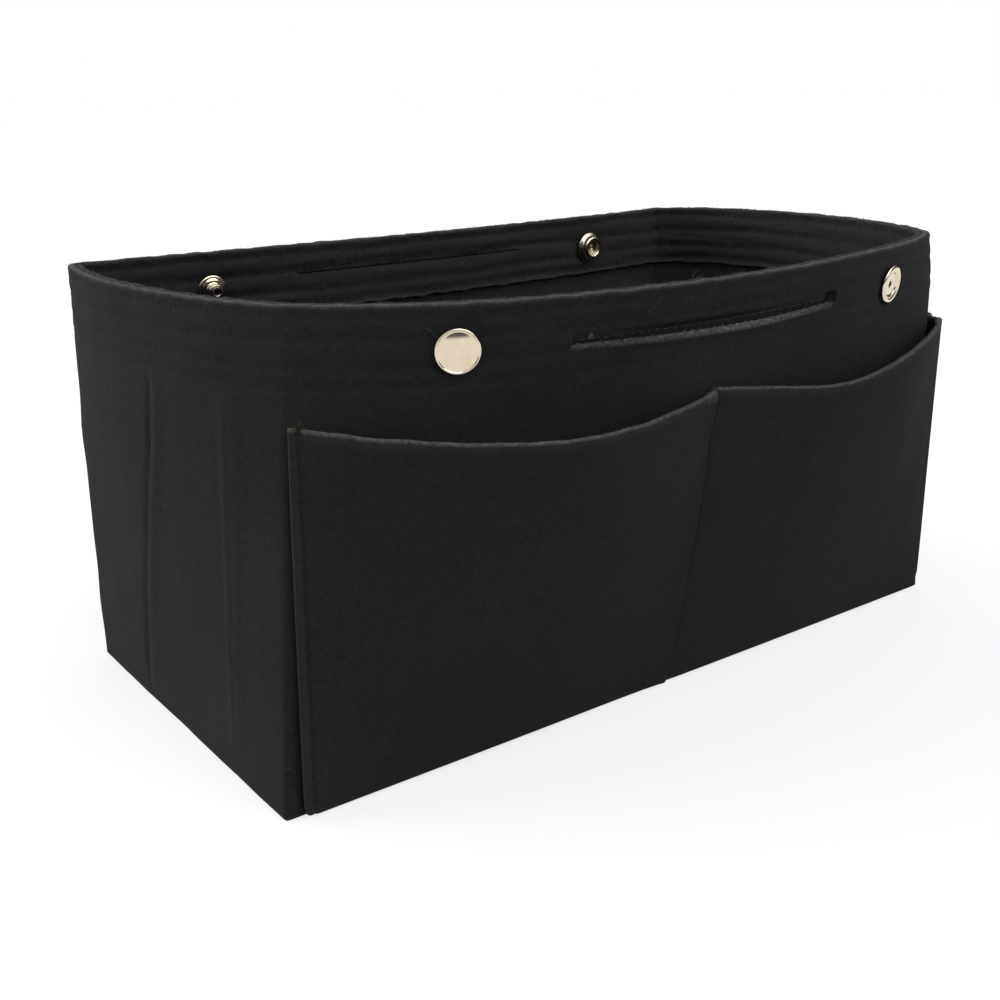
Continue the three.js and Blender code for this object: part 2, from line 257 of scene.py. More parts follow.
def wave(t, z, wavelength, seed, waves=7):
    """ripple for the walls: it meets itself after one round."""
    rng = np.random.default_rng(seed)
    total = np.zeros(np.broadcast(t, z).shape)
    turn = run_along(t) * math.tau / PERIMETER
    for _ in range(waves):
        angle, phase = rng.uniform(0, math.tau, 2)
        length = wavelength * rng.uniform(0.6, 1.7)
        rounds = round(PERIMETER * math.cos(angle) / length)
        total = total + np.sin(turn * rounds + z * math.sin(angle) * math.tau / length + phase)
    return total / math.sqrt(waves)


def bell(x, width):
    return np.exp(-((x / width) ** 2))


def smooth(low, high, x):
    share = np.clip((x - low) / (high - low), 0, 1)
    return share * share * (3 - 2 * share)


def unit(vectors):
    return vectors / np.linalg.norm(vectors, axis=-1, keepdims=True)


def columns(stops, step):
    """Places along the walls from stop to stop, about step millimetres apart."""
    result = [np.array([stops[0]])]
    for a, b in zip(stops, stops[1:]):
        cuts = [a] + [c for c in range(math.floor(a) + 1, math.ceil(b)) if a < c < b] + [b]
        for low, high in zip(cuts, cuts[1:]):
            length = wall_length(int(math.floor((low + high) / 2)) % 4) * (high - low)
            count = max(2, round(length / step))
            result.append(np.linspace(low, high, count + 1)[1:])
    return np.concatenate(result)


# Meshes


def make_mesh(name, points, faces, edge=None, flat_faces=(), fixed_normals=None):
    """An object from points in millimetres, with the share of the paler cut-edge colour at each
    point: the cut edges' own colour, and painted light on the inner faces, the front slot's lower
    lip and the rim. fixed_normals gives the direction of the surface at points where two pieces
    meet."""
    points = np.asarray(points, float).reshape(-1, 3)
    used = np.zeros(len(points), bool)
    for face in faces:
        used[list(face)] = True
    renumber = np.cumsum(used) - 1
    mesh = bpy.data.meshes.new(name)
    mesh.from_pydata(
        (points[used] * MM).tolist(), [], [[int(renumber[v]) for v in face] for face in faces]
    )
    mesh.validate()
    solid = bmesh.new()
    solid.from_mesh(mesh)
    bmesh.ops.recalc_face_normals(solid, faces=solid.faces)
    solid.to_mesh(mesh)
    solid.free()
    mesh.polygons.foreach_set("use_smooth", np.ones(len(mesh.polygons), bool))
    if len(flat_faces):
        flat = set(flat_faces)
        for polygon in mesh.polygons:
            if polygon.index in flat:
                polygon.use_smooth = False
    if edge is not None:
        layer = mesh.attributes.new("edge", "FLOAT", "POINT")
        layer.data.foreach_set("value", np.asarray(edge, np.float32).ravel()[used])
    mesh.update()
    if fixed_normals:
        fix_normals(mesh, {int(renumber[v]): normal for v, normal in fixed_normals.items()})
    piece = bpy.data.objects.new(name, mesh)
    bpy.context.scene.collection.objects.link(piece)
    return piece


def fix_normals(mesh, fixed):
    """Gives the smooth faces at these points a set normal."""
    custom = np.zeros((len(mesh.loops), 3))
    for polygon in mesh.polygons:
        if not polygon.use_smooth:
            continue
        for corner in polygon.loop_indices:
            normal = fixed.get(mesh.loops[corner].vertex_index)
            if normal is not None:
                facing = 1 if np.dot(normal, mesh.corner_normals[corner].vector) > 0 else -1
                custom[corner] = normal * facing
    mesh.normals_split_custom_set(custom.tolist())


def grid_faces(index, close_rows=False, turn=False):
    """Quads between neighbours of an index grid [column, row]."""
    rows = index.shape[1]
    faces = []
    for here, beside in zip(index, index[1:]):
        for r in range(rows if close_rows else rows - 1):
            n = (r + 1) % rows
            quad = (here[r], beside[r], beside[n], here[n])
            faces.append(quad[::-1] if turn else quad)
    return faces


def finish_felt(piece, material="needle_felt"):
    piece.data.materials.append(bpy.data.materials[material])
    return piece


# Relief of the hem, in millimetres

OUTSIDE_GROOVE, INSIDE_GROOVE = 0.5, 1.25  # how deep the rows press in, as shares of the setting
PUCKER_PITCH = 3.2


def row_height(row, t):
    """The height of a row of topstitching, which passes round the hand slots."""
    line = HEIGHT - STITCH_ROWS[row] + 0.35 * wave(t, 0, 70, 30 + row)
    for middle in (0.5, 2.5):
        gape = np.clip(1 - ((t % 4 - middle) * LENGTH / 60) ** 2, 0, 1)
        line = line + gape * {1: 0.7, 2: -1.9 if middle < 1 else -0.6}.get(row, 0)
    return line


def hem_relief(t, z, groove, seed):
    """The puffed ridges between the rows of topstitching."""
    relief = np.zeros(np.broadcast(t, z).shape)
    inside_hem = smooth(HEIGHT - HEM_HEIGHT - 1.5, HEIGHT - HEM_HEIGHT + 2.5, z)
    turn, uneven = run_along(t) * math.tau / PUCKER_PITCH, 0.3 * wave(t, 0, 11, seed + 9)
    for row in range(len(STITCH_ROWS)):
        pucker = 1 + 0.25 * np.cos(turn + row) + uneven
        relief = relief - groove * pucker * bell(z - row_height(row, t), 1.35)
    swell = 0.3 + 0.2 * wave(t, z, 26, seed + 5) + 0.16 * wave(t, z * 9, 34, seed + 6)
    return (relief + swell * groove) * inside_hem


def wall_relief(t, z, seed):
    """The slow waves of felt that stands by itself."""
    return 0.28 * wave(t, z * 1.4, 95, seed) + 0.09 * wave(t, z, 24, seed + 1)


# The holder's two stitch lines: place at the top, place at the foot, depth
HOLDER_SEAMS = ((3.54, 3.33, -1.0), (3.82, 3.78, 0.5))
HOLDER_SEAM_SPAN = (12.0, 114.0)


def holder_seam_relief(t, z):
    """The two stitch lines of the inner holder, where they show on the left end."""
    relief = np.zeros(np.broadcast(t, z).shape)
    for top, foot, depth in HOLDER_SEAMS:
        low, high = HOLDER_SEAM_SPAN
        line = foot + (top - foot) * np.clip((z - low) / (high - low), 0, 1)
        across = (t - line) * WIDTH
        fade = smooth(4, 14, z) * (1 - smooth(112, 122, z))
        relief = relief + fade * (depth * 0.8 * bell(across, 1.6) + 0.45 * bell(across - 4.5, 4))
    return relief


def wrapped(t):
    return np.where(t > 4, t - 4, t)


# Walls


# Through a hand slot from the outer to the inner face: how deep, how much of the inner outline,
# and how far the cut edge stands in. The front slot gapes, the back one lies nearly shut.
SLOT_RINGS = {
    "front": (
        *((0.06, 0.08, 0.25), (0.22, 0.2, 0.42), (0.38, 0.3, 0.38), (0.48, 0.34, 0.0)),
        *((0.52, 0.4, -1.3), (0.57, 0.75, -1.3)),  # the crevice between the two layers of felt
        *((0.61, 0.9, 0.0), (0.7, 0.95, 0.35), (0.92, 1.0, 0.1)),
    ),
    "back": (
        *((0.1, 0.0, 0.0), (0.35, 0.02, 0.0), (0.5, 0.05, 0.0)),
        *((0.6, 0.45, 0.0), (0.75, 0.8, 0.1), (0.9, 0.95, 0.15)),
    ),
}
# The heights of a hand slot: outer lower, outer upper, inner lower and inner upper edge
SLOT_HEIGHTS = {
    "front": (128.9, 132.9, 129.9, 133.1),
    "back": (133.5, 133.62, 133.1, 133.7),
}
SLOT_STEPS, STEPS_OVER_SLOT = 8, 12  # rows of points beside a hand slot and over it

# Over the rim, where the cut edges of the wall and the facing lie side by side: how far out, how
# high over the rim, and how pale. The paleness is the cut edges' own paler colour, with a painted
# highlight strongest along the top of the wall's edge
RIM_SECTION = np.array(
    [
        *((-0.05, -0.8, 0.12), (-0.28, -0.28, 0.55), (-0.8, -0.03, 1.0), (-1.6, 0.0, 1.0)),
        *((-2.25, -0.12, 0.8), (-2.65, -0.5, 0.2), (-3.05, -0.12, 0.3), (-3.6, 0.0, 0.38)),
        *((-4.1, -0.03, 0.38), (-4.55, -0.28, 0.25), (-4.76, -0.8, 0.12)),
    ]
)
RIM_ROUNDING = 1.4
INNER_HEM_PAINTED_LIGHT, INNER_WALL_PAINTED_LIGHT = 0.1, 0.15  # painted light: the inner faces of the hem and of the wall are made a little lighter to lift the shade inside the tray


def wall_section(low_o, high_o, low_i, high_i):
    """Once round the cut through a wall: up its outer face, over the rim, down the facing, and down
    its inner face. Each row is a height, how far out, the side (1 outer, -1 facing) and how pale:
    the cut edges' own paler colour, a painted highlight along the rim, and painted light on the
    inner faces. Also where each part starts, and the heights on the outer face."""
    band = HEIGHT - HEM_HEIGHT
    top = HEIGHT - RIM_ROUNDING
    outer_z = np.concatenate(
        [
            [0.0, 0.35],
            np.linspace(1.2, band - 4, 30),
            np.linspace(band - 3, low_o, 13),
            np.linspace(low_o, high_o, SLOT_STEPS)[1:],
            np.linspace(high_o, top, STEPS_OVER_SLOT)[1:],
        ]
    )
    inner_z = np.concatenate(
        [
            np.linspace(top, high_i, STEPS_OVER_SLOT),
            np.linspace(high_i, low_i, SLOT_STEPS)[1:],
            np.linspace(low_i, band + 0.9, 12)[1:],
        ]
    )
    down_z = np.concatenate([[band - 0.6], np.linspace(band - 4, 1.2, 24), [0.35, 0.0]])

    def straight(z, out, side, paleness):
        return np.stack([z, 0 * z + out, 0 * z + side, 0 * z + paleness], axis=1)

    outer = straight(outer_z, 0, 1, 0)
    outer[:2, 1] = -0.4, -0.08
    outer[:2, 3] = 0.4
    out, over, paleness = RIM_SECTION.T
    rim = np.stack([HEIGHT + over, out, 1 + 2 * out / HEM_DEPTH, paleness], axis=1)
    # painted light on the facing's inner face
    inner = straight(inner_z, -HEM_DEPTH, -1, INNER_HEM_PAINTED_LIGHT)
    inner[-1, 3] = 0.4
    hem_edge = np.array(
        [
            (band + 0.3, -HEM_DEPTH + 0.15, -0.8, 0.9),
            (band + 0.02, -HEM_DEPTH + 0.7, -0.4, 1.0),
            (band, -HEM_DEPTH + 1.4, -0.3, 1.0),
            (band + 0.05, -WALL_FELT - 0.25, -0.2, 0.6),
        ]
    )
    # painted light on the wall's inner face below the hem
    down = straight(down_z, -WALL_FELT, 0, INNER_WALL_PAINTED_LIGHT)
    down[-2:, 1] = -WALL_FELT + 0.12, -WALL_FELT + 0.5
    parts = (outer, rim, inner, hem_edge, down)
    starts = np.cumsum([0] + [len(part) for part in parts])
    return np.concatenate(parts), starts, outer_z


def wall_points(t, section, starts, groove, seed, dimples, holder_seams):
    """The places (t, height, out) of a wall's section at each column, with all its relief."""
    tt, zz = np.meshgrid(t, section[:, 0], indexing="ij")
    oo = np.broadcast_to(section[:, 1], tt.shape).copy()
    ss = np.broadcast_to(section[:, 2], tt.shape)
    relief = hem_relief(tt, zz, groove * OUTSIDE_GROOVE, seed)
    inner_relief = hem_relief(tt, zz, groove * INSIDE_GROOVE, seed + 40)
    oo += np.where(ss > 0, relief * ss, inner_relief * ss)
    oo += wall_relief(tt, zz, seed + 3)
    if holder_seams:
        oo += np.where(ss > 0.5, holder_seam_relief(wrapped(tt), zz), 0)
    rim_rows = slice(starts[1] - 3, starts[2] + 3)
    zz[:, rim_rows] += 0.12 * wave(tt[:, rim_rows], 0.6 * oo[:, rim_rows], 9, seed + 7)
    zz[:, rim_rows] += 0.06 * wave(tt[:, rim_rows], 3 * oo[:, rim_rows], 3.4, seed + 6)
    lower = slice(starts[3] - 2, starts[4] + 1)
    zz[:, lower] += 0.2 * wave(tt[:, lower], 0, 9, seed + 8)
    for place, radius, depth in dimples:
        away = np.hypot((tt - place) * LENGTH, zz - (HEIGHT - SNAP_BELOW_RIM))
        press = depth * (1 - smooth(radius * 0.75, radius * 1.7, away))
        oo -= press * np.where(ss > 0.5, 1, np.where(ss < -0.5, -1, 0))
    return tt, zz, oo, ss


def end_normals(t, side_step, *settings):
    """The directions of the surface across the section at one column."""
    tt, zz, oo, _ = wall_points(np.array([t - side_step, t, t + side_step]), *settings)
    points = on_face(tt, zz, oo)
    along = points[2] - points[0]
    down = np.roll(points[1], -1, axis=0) - np.roll(points[1], 1, axis=0)
    return unit(np.cross(along, down))


def shape_slot(places, slot, stops):
    """Opens the lips of a hand slot and rounds its ends."""
    tt, zz, oo, ss = places
    low_o, high_o, low_i, high_i = SLOT_HEIGHTS[slot]
    middle = (stops[1] + stops[2]) / 2
    half = (stops[2] - stops[1]) / 2
    share = (tt - stops[1]) / (2 * half)
    if slot == "front":
        gape = np.clip(1 - ((tt - middle) / half) ** 2, 0, 1)
        near_high = bell(zz - high_o, 2.6)
        lip = np.where(ss > 0.5, bell(zz - low_o, 3.2) * gape * (0.6 + 0.5 * share), 0)
        zz -= lip * 1.35
        oo += lip * 1.15
        oo -= np.where(ss > 0.5, near_high * gape * 0.45, 0)
        zz += np.where(ss > 0.5, near_high * bell(share - 1, 0.12) * 0.9, 0)
    else:
        along_slot = smooth(-0.02, 0.04, share) * (1 - smooth(0.96, 1.02, share))
        closed_at = (low_i + high_i) / 2
        oo += np.where(ss < -0.5, 0.7 * bell(zz - closed_at, 1.5) * along_slot, 0)
    corner = 0.6 if slot == "front" else 0.05
    for at, sign in ((stops[1], -1), (stops[2], 1)):
        mid = np.where(ss > 0, (low_o + high_o) / 2, (low_i + high_i) / 2)
        tall = np.where(ss > 0, (high_o - low_o) / 2, (high_i - low_i) / 2)
        beyond = np.clip((np.abs(zz - mid) - (tall - corner)) / corner, 0, 1)
        bow = np.where(np.abs(zz - mid) <= tall + 1e-6, np.sqrt(1 - beyond**2), 0)
        past = (tt - at) * sign
        fade = np.clip(1 - past * LENGTH / 9, 0, 1) * (past >= -1e-9)
        tt += sign * bow * fade * corner / LENGTH


def slot_loops(start, end, row_o, row_i, size):
    """Once round a hand slot, as columns and rows of the section's grid: on the outer face and on
    the inner one. The lower edge comes first."""
    loop = [(c, 0) for c in range(start, end)] + [(end, k) for k in range(size)]
    loop += [(c, size) for c in range(end, start, -1)] + [(start, k) for k in range(size, 0, -1)]
    column, up = np.array(loop).T
    return (column, row_o + up), (column, row_i - up)


def slot_edge(places, loops, index, ee, stops, slot, seed):
    """The cut edge of a hand slot, from the outer to the inner face: the points and the paleness of
    its rings, and the faces between them. It also makes the felt round the slot pale; on the front
    slot's lower lip this is the cut edge's paler colour with painted light, as the lip faces up."""
    spots = (places[0] * LENGTH, *places[1:3])
    o, i = (np.stack([values[loop] for values in spots], axis=1) for loop in loops)
    along = unit(np.roll(o[:, :2], -1, axis=0) - np.roll(o[:, :2], 1, axis=0))
    inward = np.stack([-along[:, 1], along[:, 0]], axis=1)
    lower = np.arange(len(o)) < loops[0][0].max() - loops[0][0].min()
    spread = np.clip((o[:, 0] / LENGTH - stops[1]) / (stops[2] - stops[1]), 0, 1)
    inside_ends = smooth(0, 0.04, spread) * (1 - smooth(0.97, 1, spread))
    # the front slot's lower lip: the cut edge's paler colour plus painted light, strongest in the
    # middle where it gapes and faces up; the upper lip, which faces down, is not made pale
    lip_edge_and_painted_light = np.where(lower, 0.8 + 0.7 * np.sin(math.pi * spread**1.4) ** 2, 0.0)
    flecks = np.random.default_rng(seed + 22)
    points, paleness, rings = [], [], [index[loops[0]]]
    for ring_share, shape_share, pull in SLOT_RINGS[slot]:
        ring = o * (1 - shape_share) + i * shape_share
        ring[:, 2] = o[:, 2] * (1 - ring_share) + i[:, 2] * ring_share
        fuzz = ripple(ring[:, 0], ring[:, 2] * 3 + ring[:, 1], 1.9, seed + 21) * (pull > 0)
        fuzz = fuzz * np.where(lower, 0.3, 0.06)
        reach = pull * inside_ends if pull < 0 else pull
        ring[:, :2] += inward * (reach + fuzz)[:, None]
        rings.append(index.size + len(ring) * len(points) + np.arange(len(ring)))
        points.append(on_face(ring[:, 0] / LENGTH, ring[:, 1], ring[:, 2]))
        # the painted light stops partway through the cut, where it lies in shade
        fade = 1 - smooth(0.36, 0.5, ring_share)
        fleck = flecks.uniform(0.45, 1.5, len(ring))
        paleness.append(lip_edge_and_painted_light * fade * fleck if slot == "front" else 0 * lip_edge_and_painted_light)
    rings.append(index[loops[1]])
    rings = np.array([np.append(ring, ring[0]) for ring in rings])
    if slot == "front":
        # the lower edge on the outer face takes the same painted light
        ee[loops[0]] = 0.8 * lip_edge_and_painted_light
        ee[loops[1]] = 0.15
    else:
        ee[loops[1]] = np.where(lower, 0.0, 0.35)
    return points, paleness, grid_faces(rings.T)


def wall_shell(name, stops, groove, slot=None, dimples=(), step=1.0, seed=100):
    """A length of wall with its hem. slot is the side whose hand slot it has."""
    t = columns(stops, step)
    heights = SLOT_HEIGHTS[slot or "front"]
    section, starts, outer_z = wall_section(*heights)
    settings = (section, starts, groove, seed, dimples, slot is None)
    places = wall_points(t, *settings)
    if slot:
        shape_slot(places, slot, stops)
    tt, zz, oo, _ = places
    points = on_face(tt, zz, oo).reshape(-1, 3)
    ee = np.broadcast_to(section[:, 3], tt.shape).copy()
    index = np.arange(tt.size).reshape(tt.shape)
    faces = grid_faces(index, close_rows=True)
    edges_and_painted_light = [ee]
    if slot:
        start, end = np.searchsorted(t, [stops[1] - 1e-9, stops[2] - 1e-9])
        low_row, high_row = np.searchsorted(outer_z, heights[:2])
        inner_high = starts[2] + STEPS_OVER_SLOT - 1
        inner_low = inner_high + SLOT_STEPS - 1
        kept = np.ones((len(t) - 1, len(section)), bool)
        kept[start:end, low_row:high_row] = kept[start:end, inner_high:inner_low] = False
        faces = [face for face, keep in zip(faces, kept.ravel()) if keep]
        loops = slot_loops(start, end, low_row, inner_low, high_row - low_row)
        more, paleness, through = slot_edge(places, loops, index, ee, stops, slot, seed)
        points = np.concatenate([points, *more])
        faces += through
        edges_and_painted_light += paleness
    caps = [tuple(index[0]), tuple(index[-1, ::-1])]
    fixed = {}
    for column, place in ((0, t[0]), (-1, t[-1])):
        fixed.update(zip(index[column].tolist(), end_normals(place, 0.002, *settings)))
    return finish_felt(
        make_mesh(
            name,
            points,
            faces + caps,
            np.concatenate([edge.ravel() for edge in edges_and_painted_light]),
            (len(faces), len(faces) + 1),
            fixed_normals=fixed,
        )
    )


def ends_thin(distance, radius, power=2.6):
    """The share of a sheet's thickness at a distance from its rounded edge."""
    share = 1 - np.clip(distance / radius, 0, 1)
    return (1 - share**power) ** (1 / power)


def edge_spread(low, high, step, radius, steps=5):
    """Values from low to high, close together within radius of both ends."""
    bend = radius * (1 - np.cos(np.linspace(0, math.pi / 2, steps + 1)))
    count = max(2, round((high - low - 2 * radius) / step))
    middle = np.linspace(low + radius, high - radius, count + 1)
    return np.concatenate([low + bend[:-1], middle, high - bend[:-1][::-1]])


def sheet_grids(outer, inner):
    """The points of both faces of a sheet and their index grids, which share the four edges."""
    index_o = np.arange(outer[..., 0].size).reshape(outer.shape[:2])
    index_i = index_o + index_o.size
    index_i[0], index_i[-1] = index_o[0], index_o[-1]
    index_i[:, 0], index_i[:, -1] = index_o[:, 0], index_o[:, -1]
    return np.concatenate([outer.reshape(-1, 3), inner.reshape(-1, 3)]), index_o, index_i


def felt_sheet(
    name,
    wall,
    ends,
    foot,
    top,
    middle,
    thick,
    step=1.4,
    seed=0,
    slant=None,
    close_at=(),
    side_pale=0.5,
    pale=None,
    cut=None,
):
    """A sheet of felt by a wall with rounded cut edges, and a function for the places on its face.
    ends are its ends along the wall in millimetres, foot and top its edges, middle(u, z, up) how
    far out its middle lies, slant(u, z) how far a point moves along the wall, close_at the
    places with close columns, and pale(u, below_top) more of the cut edge's colour. With cut it
    is made as two pieces, which meet there."""
    u = edge_spread(ends[0], ends[1], step, thick / 2)
    for place in close_at:
        u = np.concatenate([u[np.abs(u - place) > 2.6], place + np.linspace(-2.4, 2.4, 17)])
    u = np.unique(np.clip(u, *ends).round(5))
    u = u[np.concatenate([[True], np.diff(u) > 0.03])]
    tall = float(np.max(top(u)) - np.min(foot(u)))
    up = edge_spread(0, tall, 3.0, thick / 2) / tall
    uu, vv = np.meshgrid(u, up, indexing="ij")
    length = wall_length(wall, 0)

    def place(u, z, up, out):
        return wall + (u + (slant(u, z) if slant else 0)) / length, z, middle(u, z, up) + out

    low, high = foot(uu), top(uu)
    high = high + 0.1 * ripple(uu, 0 * uu, 9, seed) + 0.05 * ripple(uu, 0 * uu, 3, seed + 1)
    zz = low + (high - low) * vv
    side = np.minimum(uu - ends[0], ends[1] - uu)
    half = thick / 2 * ends_thin(side, thick / 2) * ends_thin((1 - vv) * tall, thick / 2)
    half *= ends_thin(vv * tall, thick / 2)
    outer = on_face(*place(uu, zz, vv, half))
    inner = on_face(*place(uu, zz, vv, -half))
    below_top = (1 - vv) * tall
    edge = 1 - smooth(0.25, thick * 0.62, below_top)
    edge = np.maximum(edge, side_pale * (1 - smooth(0.25, thick * 0.5, side)))
    edge = np.maximum(edge, 0.25 * (1 - smooth(0.2, thick * 0.4, vv * tall)))
    outer_edge = np.maximum(edge, pale(uu, below_top)) if pale else edge
    points, index_o, index_i = sheet_grids(outer, inner)
    edges_and_painted_light = np.concatenate([outer_edge.ravel(), edge.ravel()])
    parts, closing = [(name, slice(None))], []
    if cut is not None:
        at = int(np.argmin(np.abs(u - cut)))
        first, second = ("left", "right") if wall == FRONT else ("right", "left")
        parts = [(f"{name}_{first}", slice(0, at + 1)), (f"{name}_{second}", slice(at, None))]
        for r in range(len(up) - 1):
            ring = (index_o[at, r], index_o[at, r + 1], index_i[at, r + 1], index_i[at, r])
            closing.append(tuple(dict.fromkeys(ring)))
    pieces = []
    for part, span in parts:
        faces = grid_faces(index_o[span]) + grid_faces(index_i[span], turn=True)
        flat = range(len(faces), len(faces) + len(closing))
        pieces.append(finish_felt(make_mesh(part, points, faces + closing, edges_and_painted_light, flat)))

    def face(u, z, facing):
        """A line on one face of the sheet, with its directions out of the felt."""
        low = foot(u)
        spot = place(u, z, np.clip((z - low) / (top(u) - low), 0, 1), facing * thick / 2)
        return path_on_face(*spot, facing)

    return (pieces[0] if cut is None else pieces), face


# Pockets

FRONT_POCKETS = (
    {"bulge": 14.0, "sag": 3.0, "fullness": 1.25, "lean": 1.17},
    {"bulge": 9.0, "sag": 7.5, "fullness": 0.5, "lean": 1.3},
)
BACK_POCKETS = ({"bulge": 9.0, "sag": 5.0, "fullness": 1.0, "lean": 1.0},) * 2
# Between which places each panel stands off its wall, and from where to where it reaches. The
# front panel's right end goes round the corner.
FRONT_POCKET_SPAN = (POCKET_EDGE, LENGTH - 1.8)
FRONT_POCKET_ENDS = (POCKET_EDGE, LENGTH + 9.0)
BACK_POCKET_SPAN = BACK_POCKET_ENDS = (POCKET_EDGE, LENGTH - POCKET_EDGE)
# How much higher the mouth of the front right pocket stands, along the panel
MOUTH_LIFT = (
    (190, 204, 218, 232, 245, 256, 262, 268, 280, 289),
    (0, 1.0, 2.6, 4.6, 5.4, 5.1, 4.1, 2.2, -0.9, 1.2),
)
STITCH_INSET = 3.0
FOOT_ROW = 3.6


def pocket_shares(u, pockets, span):
    """For each place along the panel: the share of the way, and between its two seams, and that
    pocket's own values."""
    second = u >= LENGTH / 2
    low, high = np.where(second, LENGTH / 2, span[0]), np.where(second, span[1], LENGTH / 2)
    share = np.clip((u - low) / (high - low), 0, 1)
    inner = np.where(second, 0.5 + share / 2, share / 2)
    values = {k: np.where(second, pockets[1][k], pockets[0][k]) for k in pockets[0]}
    full = np.sin(math.pi * share ** values["lean"])
    return inner, np.clip(full, 0, 1), values


def outer_pocket(name, wall, pockets, span, ends, seed):
    """A panel in two pieces, which meet at its middle seam, and the stitch lines of each."""
    rest = POCKET_GAP + POCKET_FELT / 2
    front = wall == FRONT

    def top(u):
        inner, full, values = pocket_shares(u, pockets, span)
        line = POCKET_HEIGHT - 3.5 * np.sin(math.pi * inner) - values["sag"] * full
        if front:
            lifts = [np.interp(u + d, *MOUTH_LIFT) for d in (-5, -2.5, 0, 2.5, 5)]
            past = u - LENGTH / 2
            line = line + np.mean(lifts, axis=0) + 0.9 * bell(past + 2.2, 2.4)
            line = line + 1.1 * smooth(0, 1, past) - 1.1 * smooth(0, 60, past)
        return line

    def middle(u, z, up):
        inner, full, values = pocket_shares(u, pockets, span)
        fullness = values["fullness"]
        if front:
            fullness = fullness + 0.3 * (inner > 0.5) * (1 - smooth(0.5, 0.8, inner))
        bulge = values["bulge"] * full**fullness
        if front:
            at_corner = 2.2 * smooth(250, 270, u) * (1 - smooth(LENGTH, ends[1] - 3, u))
            bulge = np.maximum(bulge, at_corner)
        out = rest + bulge * np.clip(up, 0, 1) ** 0.7
        past = u - LENGTH / 2
        press = 0.8 * bell(past - 0.25, 0.5)
        if front:
            out = out + np.where(past < 0, 1.0 * np.exp(np.minimum(past, 0) / 6), 0)
            out = out - np.where(past >= 0, 0.35 * np.exp(-np.maximum(past, 0) / 5), 0)
        sides = np.minimum(np.abs(u - ends[0] - STITCH_INSET), np.abs(u - ends[1] + STITCH_INSET))
        press = press + 0.5 * bell(sides, 0.7)
        foot = 0.4 * bell(z - FOOT_ROW, 1.2)
        drift = 0.35 * ripple(u, z, 60, seed + 4) + 0.06 * ripple(u, z, 17, seed + 5)
        return out - press - foot + drift * np.clip(full * up * 3, 0, 1)

    def foot(u):
        """The lower edge, rounded off at both ends."""
        round_off = 3.2
        side = np.minimum(u - ends[0], ends[1] - u)
        share = 1 - np.clip(side / round_off, 0, 1)
        return 0.4 + round_off * (1 - np.sqrt(np.clip(1 - share**2, 0, 1)))

    def pale(u, below_top):
        strip = 0.07 * (1 - smooth(STITCH_INSET - 0.6, STITCH_INSET, u - ends[0]))
        before_seam = LENGTH / 2 - u
        fold = (before_seam > 0) * (1 - smooth(0.2, 0.9, below_top - 3.6 * (1 - before_seam / 6)))
        return np.maximum(strip, 0.85 * fold * (before_seam < 6)) if front else 0 * u

    seams = (ends[0] + STITCH_INSET, LENGTH / 2, ends[1] - STITCH_INSET)
    pieces, face = felt_sheet(
        name,
        wall,
        ends,
        foot,
        top,
        middle,
        POCKET_FELT,
        seed=seed,
        slant=pocket_slant if front else None,
        close_at=seams,
        side_pale=0.32,
        pale=pale,
        cut=LENGTH / 2,
    )
    up_lines = []
    for u in seams:
        z = np.linspace(FOOT_ROW, float(top(np.array(u))) - 1.5, 120)
        up_lines.append(face(np.full(120, u), z, 1.0))
    rows = []
    for low, high in ((seams[0], seams[1] - 0.8), (seams[1] + 0.8, seams[2])):
        rows.append(face(np.linspace(low, high, 200), np.full(200, FOOT_ROW), 1.0))
    return pieces, ([up_lines[0], up_lines[1], rows[0]], [up_lines[2], rows[1]])


# How far the middle seam stands to the right, at each height
MIDDLE_SEAM = ((0, 20, 42, 60, 80, 112), (3.6, 3.4, 3.5, 2.4, 0.8, -0.4))


def pocket_slant(u, z):
    """The front panel's left end and middle seam stand a little off the upright of the wall."""
    up = z / POCKET_HEIGHT
    left = (1.2 - 4.2 * up) * np.clip(1 - (u - POCKET_EDGE) / 60, 0, 1)
    wobble = 0.3 * ripple(z, 0 * z, 24, 41)
    place = np.interp(z, *MIDDLE_SEAM)
    seam = (place + wobble) * np.clip(1 - np.abs(u - LENGTH / 2) / 60, 0, 1)
    return left + seam


INNER_FOOT, INNER_HEIGHT, INNER_BULGE, INNER_DIP = 8.0, 92.0, 11.0, 4.0


def inner_pocket(name, wall, count, seed):
    first = SEAM_FROM_CORNER + 5.0
    width = LENGTH - 2 * first
    rest = -(WALL_FELT + GAP) - POCKET_FELT / 2

    def full(u):
        share = np.clip((u - first) / width, 0, 0.999999)
        return np.sin(math.pi * ((share * count) % 1))

    def middle(u, z, up):
        seam = np.abs(((u - first) / width * count + 0.5) % 1 - 0.5) * width / count
        uneven = 0.3 * ripple(u, z, 50, seed + 4)
        lift = INNER_BULGE * full(u) * np.clip(up, 0, 1)
        from_end = np.minimum(u - first, first + width - u)
        press = 0.5 * bell(seam, 0.8) + 0.4 * bell(from_end - STITCH_INSET, 0.8)
        return rest - lift + press - np.abs(uneven) * full(u) * up

    seams = first + width * np.arange(count + 1) / count
    seams[0] += STITCH_INSET
    seams[-1] -= STITCH_INSET
    piece, face = felt_sheet(
        name,
        wall,
        (first, first + width),
        lambda u: INNER_FOOT + 0 * u,
        lambda u: INNER_HEIGHT - INNER_DIP * full(u),
        middle,
        POCKET_FELT,
        seed=seed,
        close_at=seams,
    )
    z = np.linspace(INNER_FOOT + STITCH_INSET, INNER_HEIGHT - 2.0, 90)
    paths = [face(np.full(90, u), z, -1.0) for u in seams]
    u = np.linspace(seams[0], seams[-1], 240)
    paths.append(face(u, np.full(240, INNER_FOOT + STITCH_INSET), -1.0))
    return piece, paths


HOLDER_FOOT, HOLDER_TOP, HOLDER_WIDTH, HOLDER_OFF, HOLDER_BULGE = 10.0, 112.0, 54.0, 17.0, 30.0


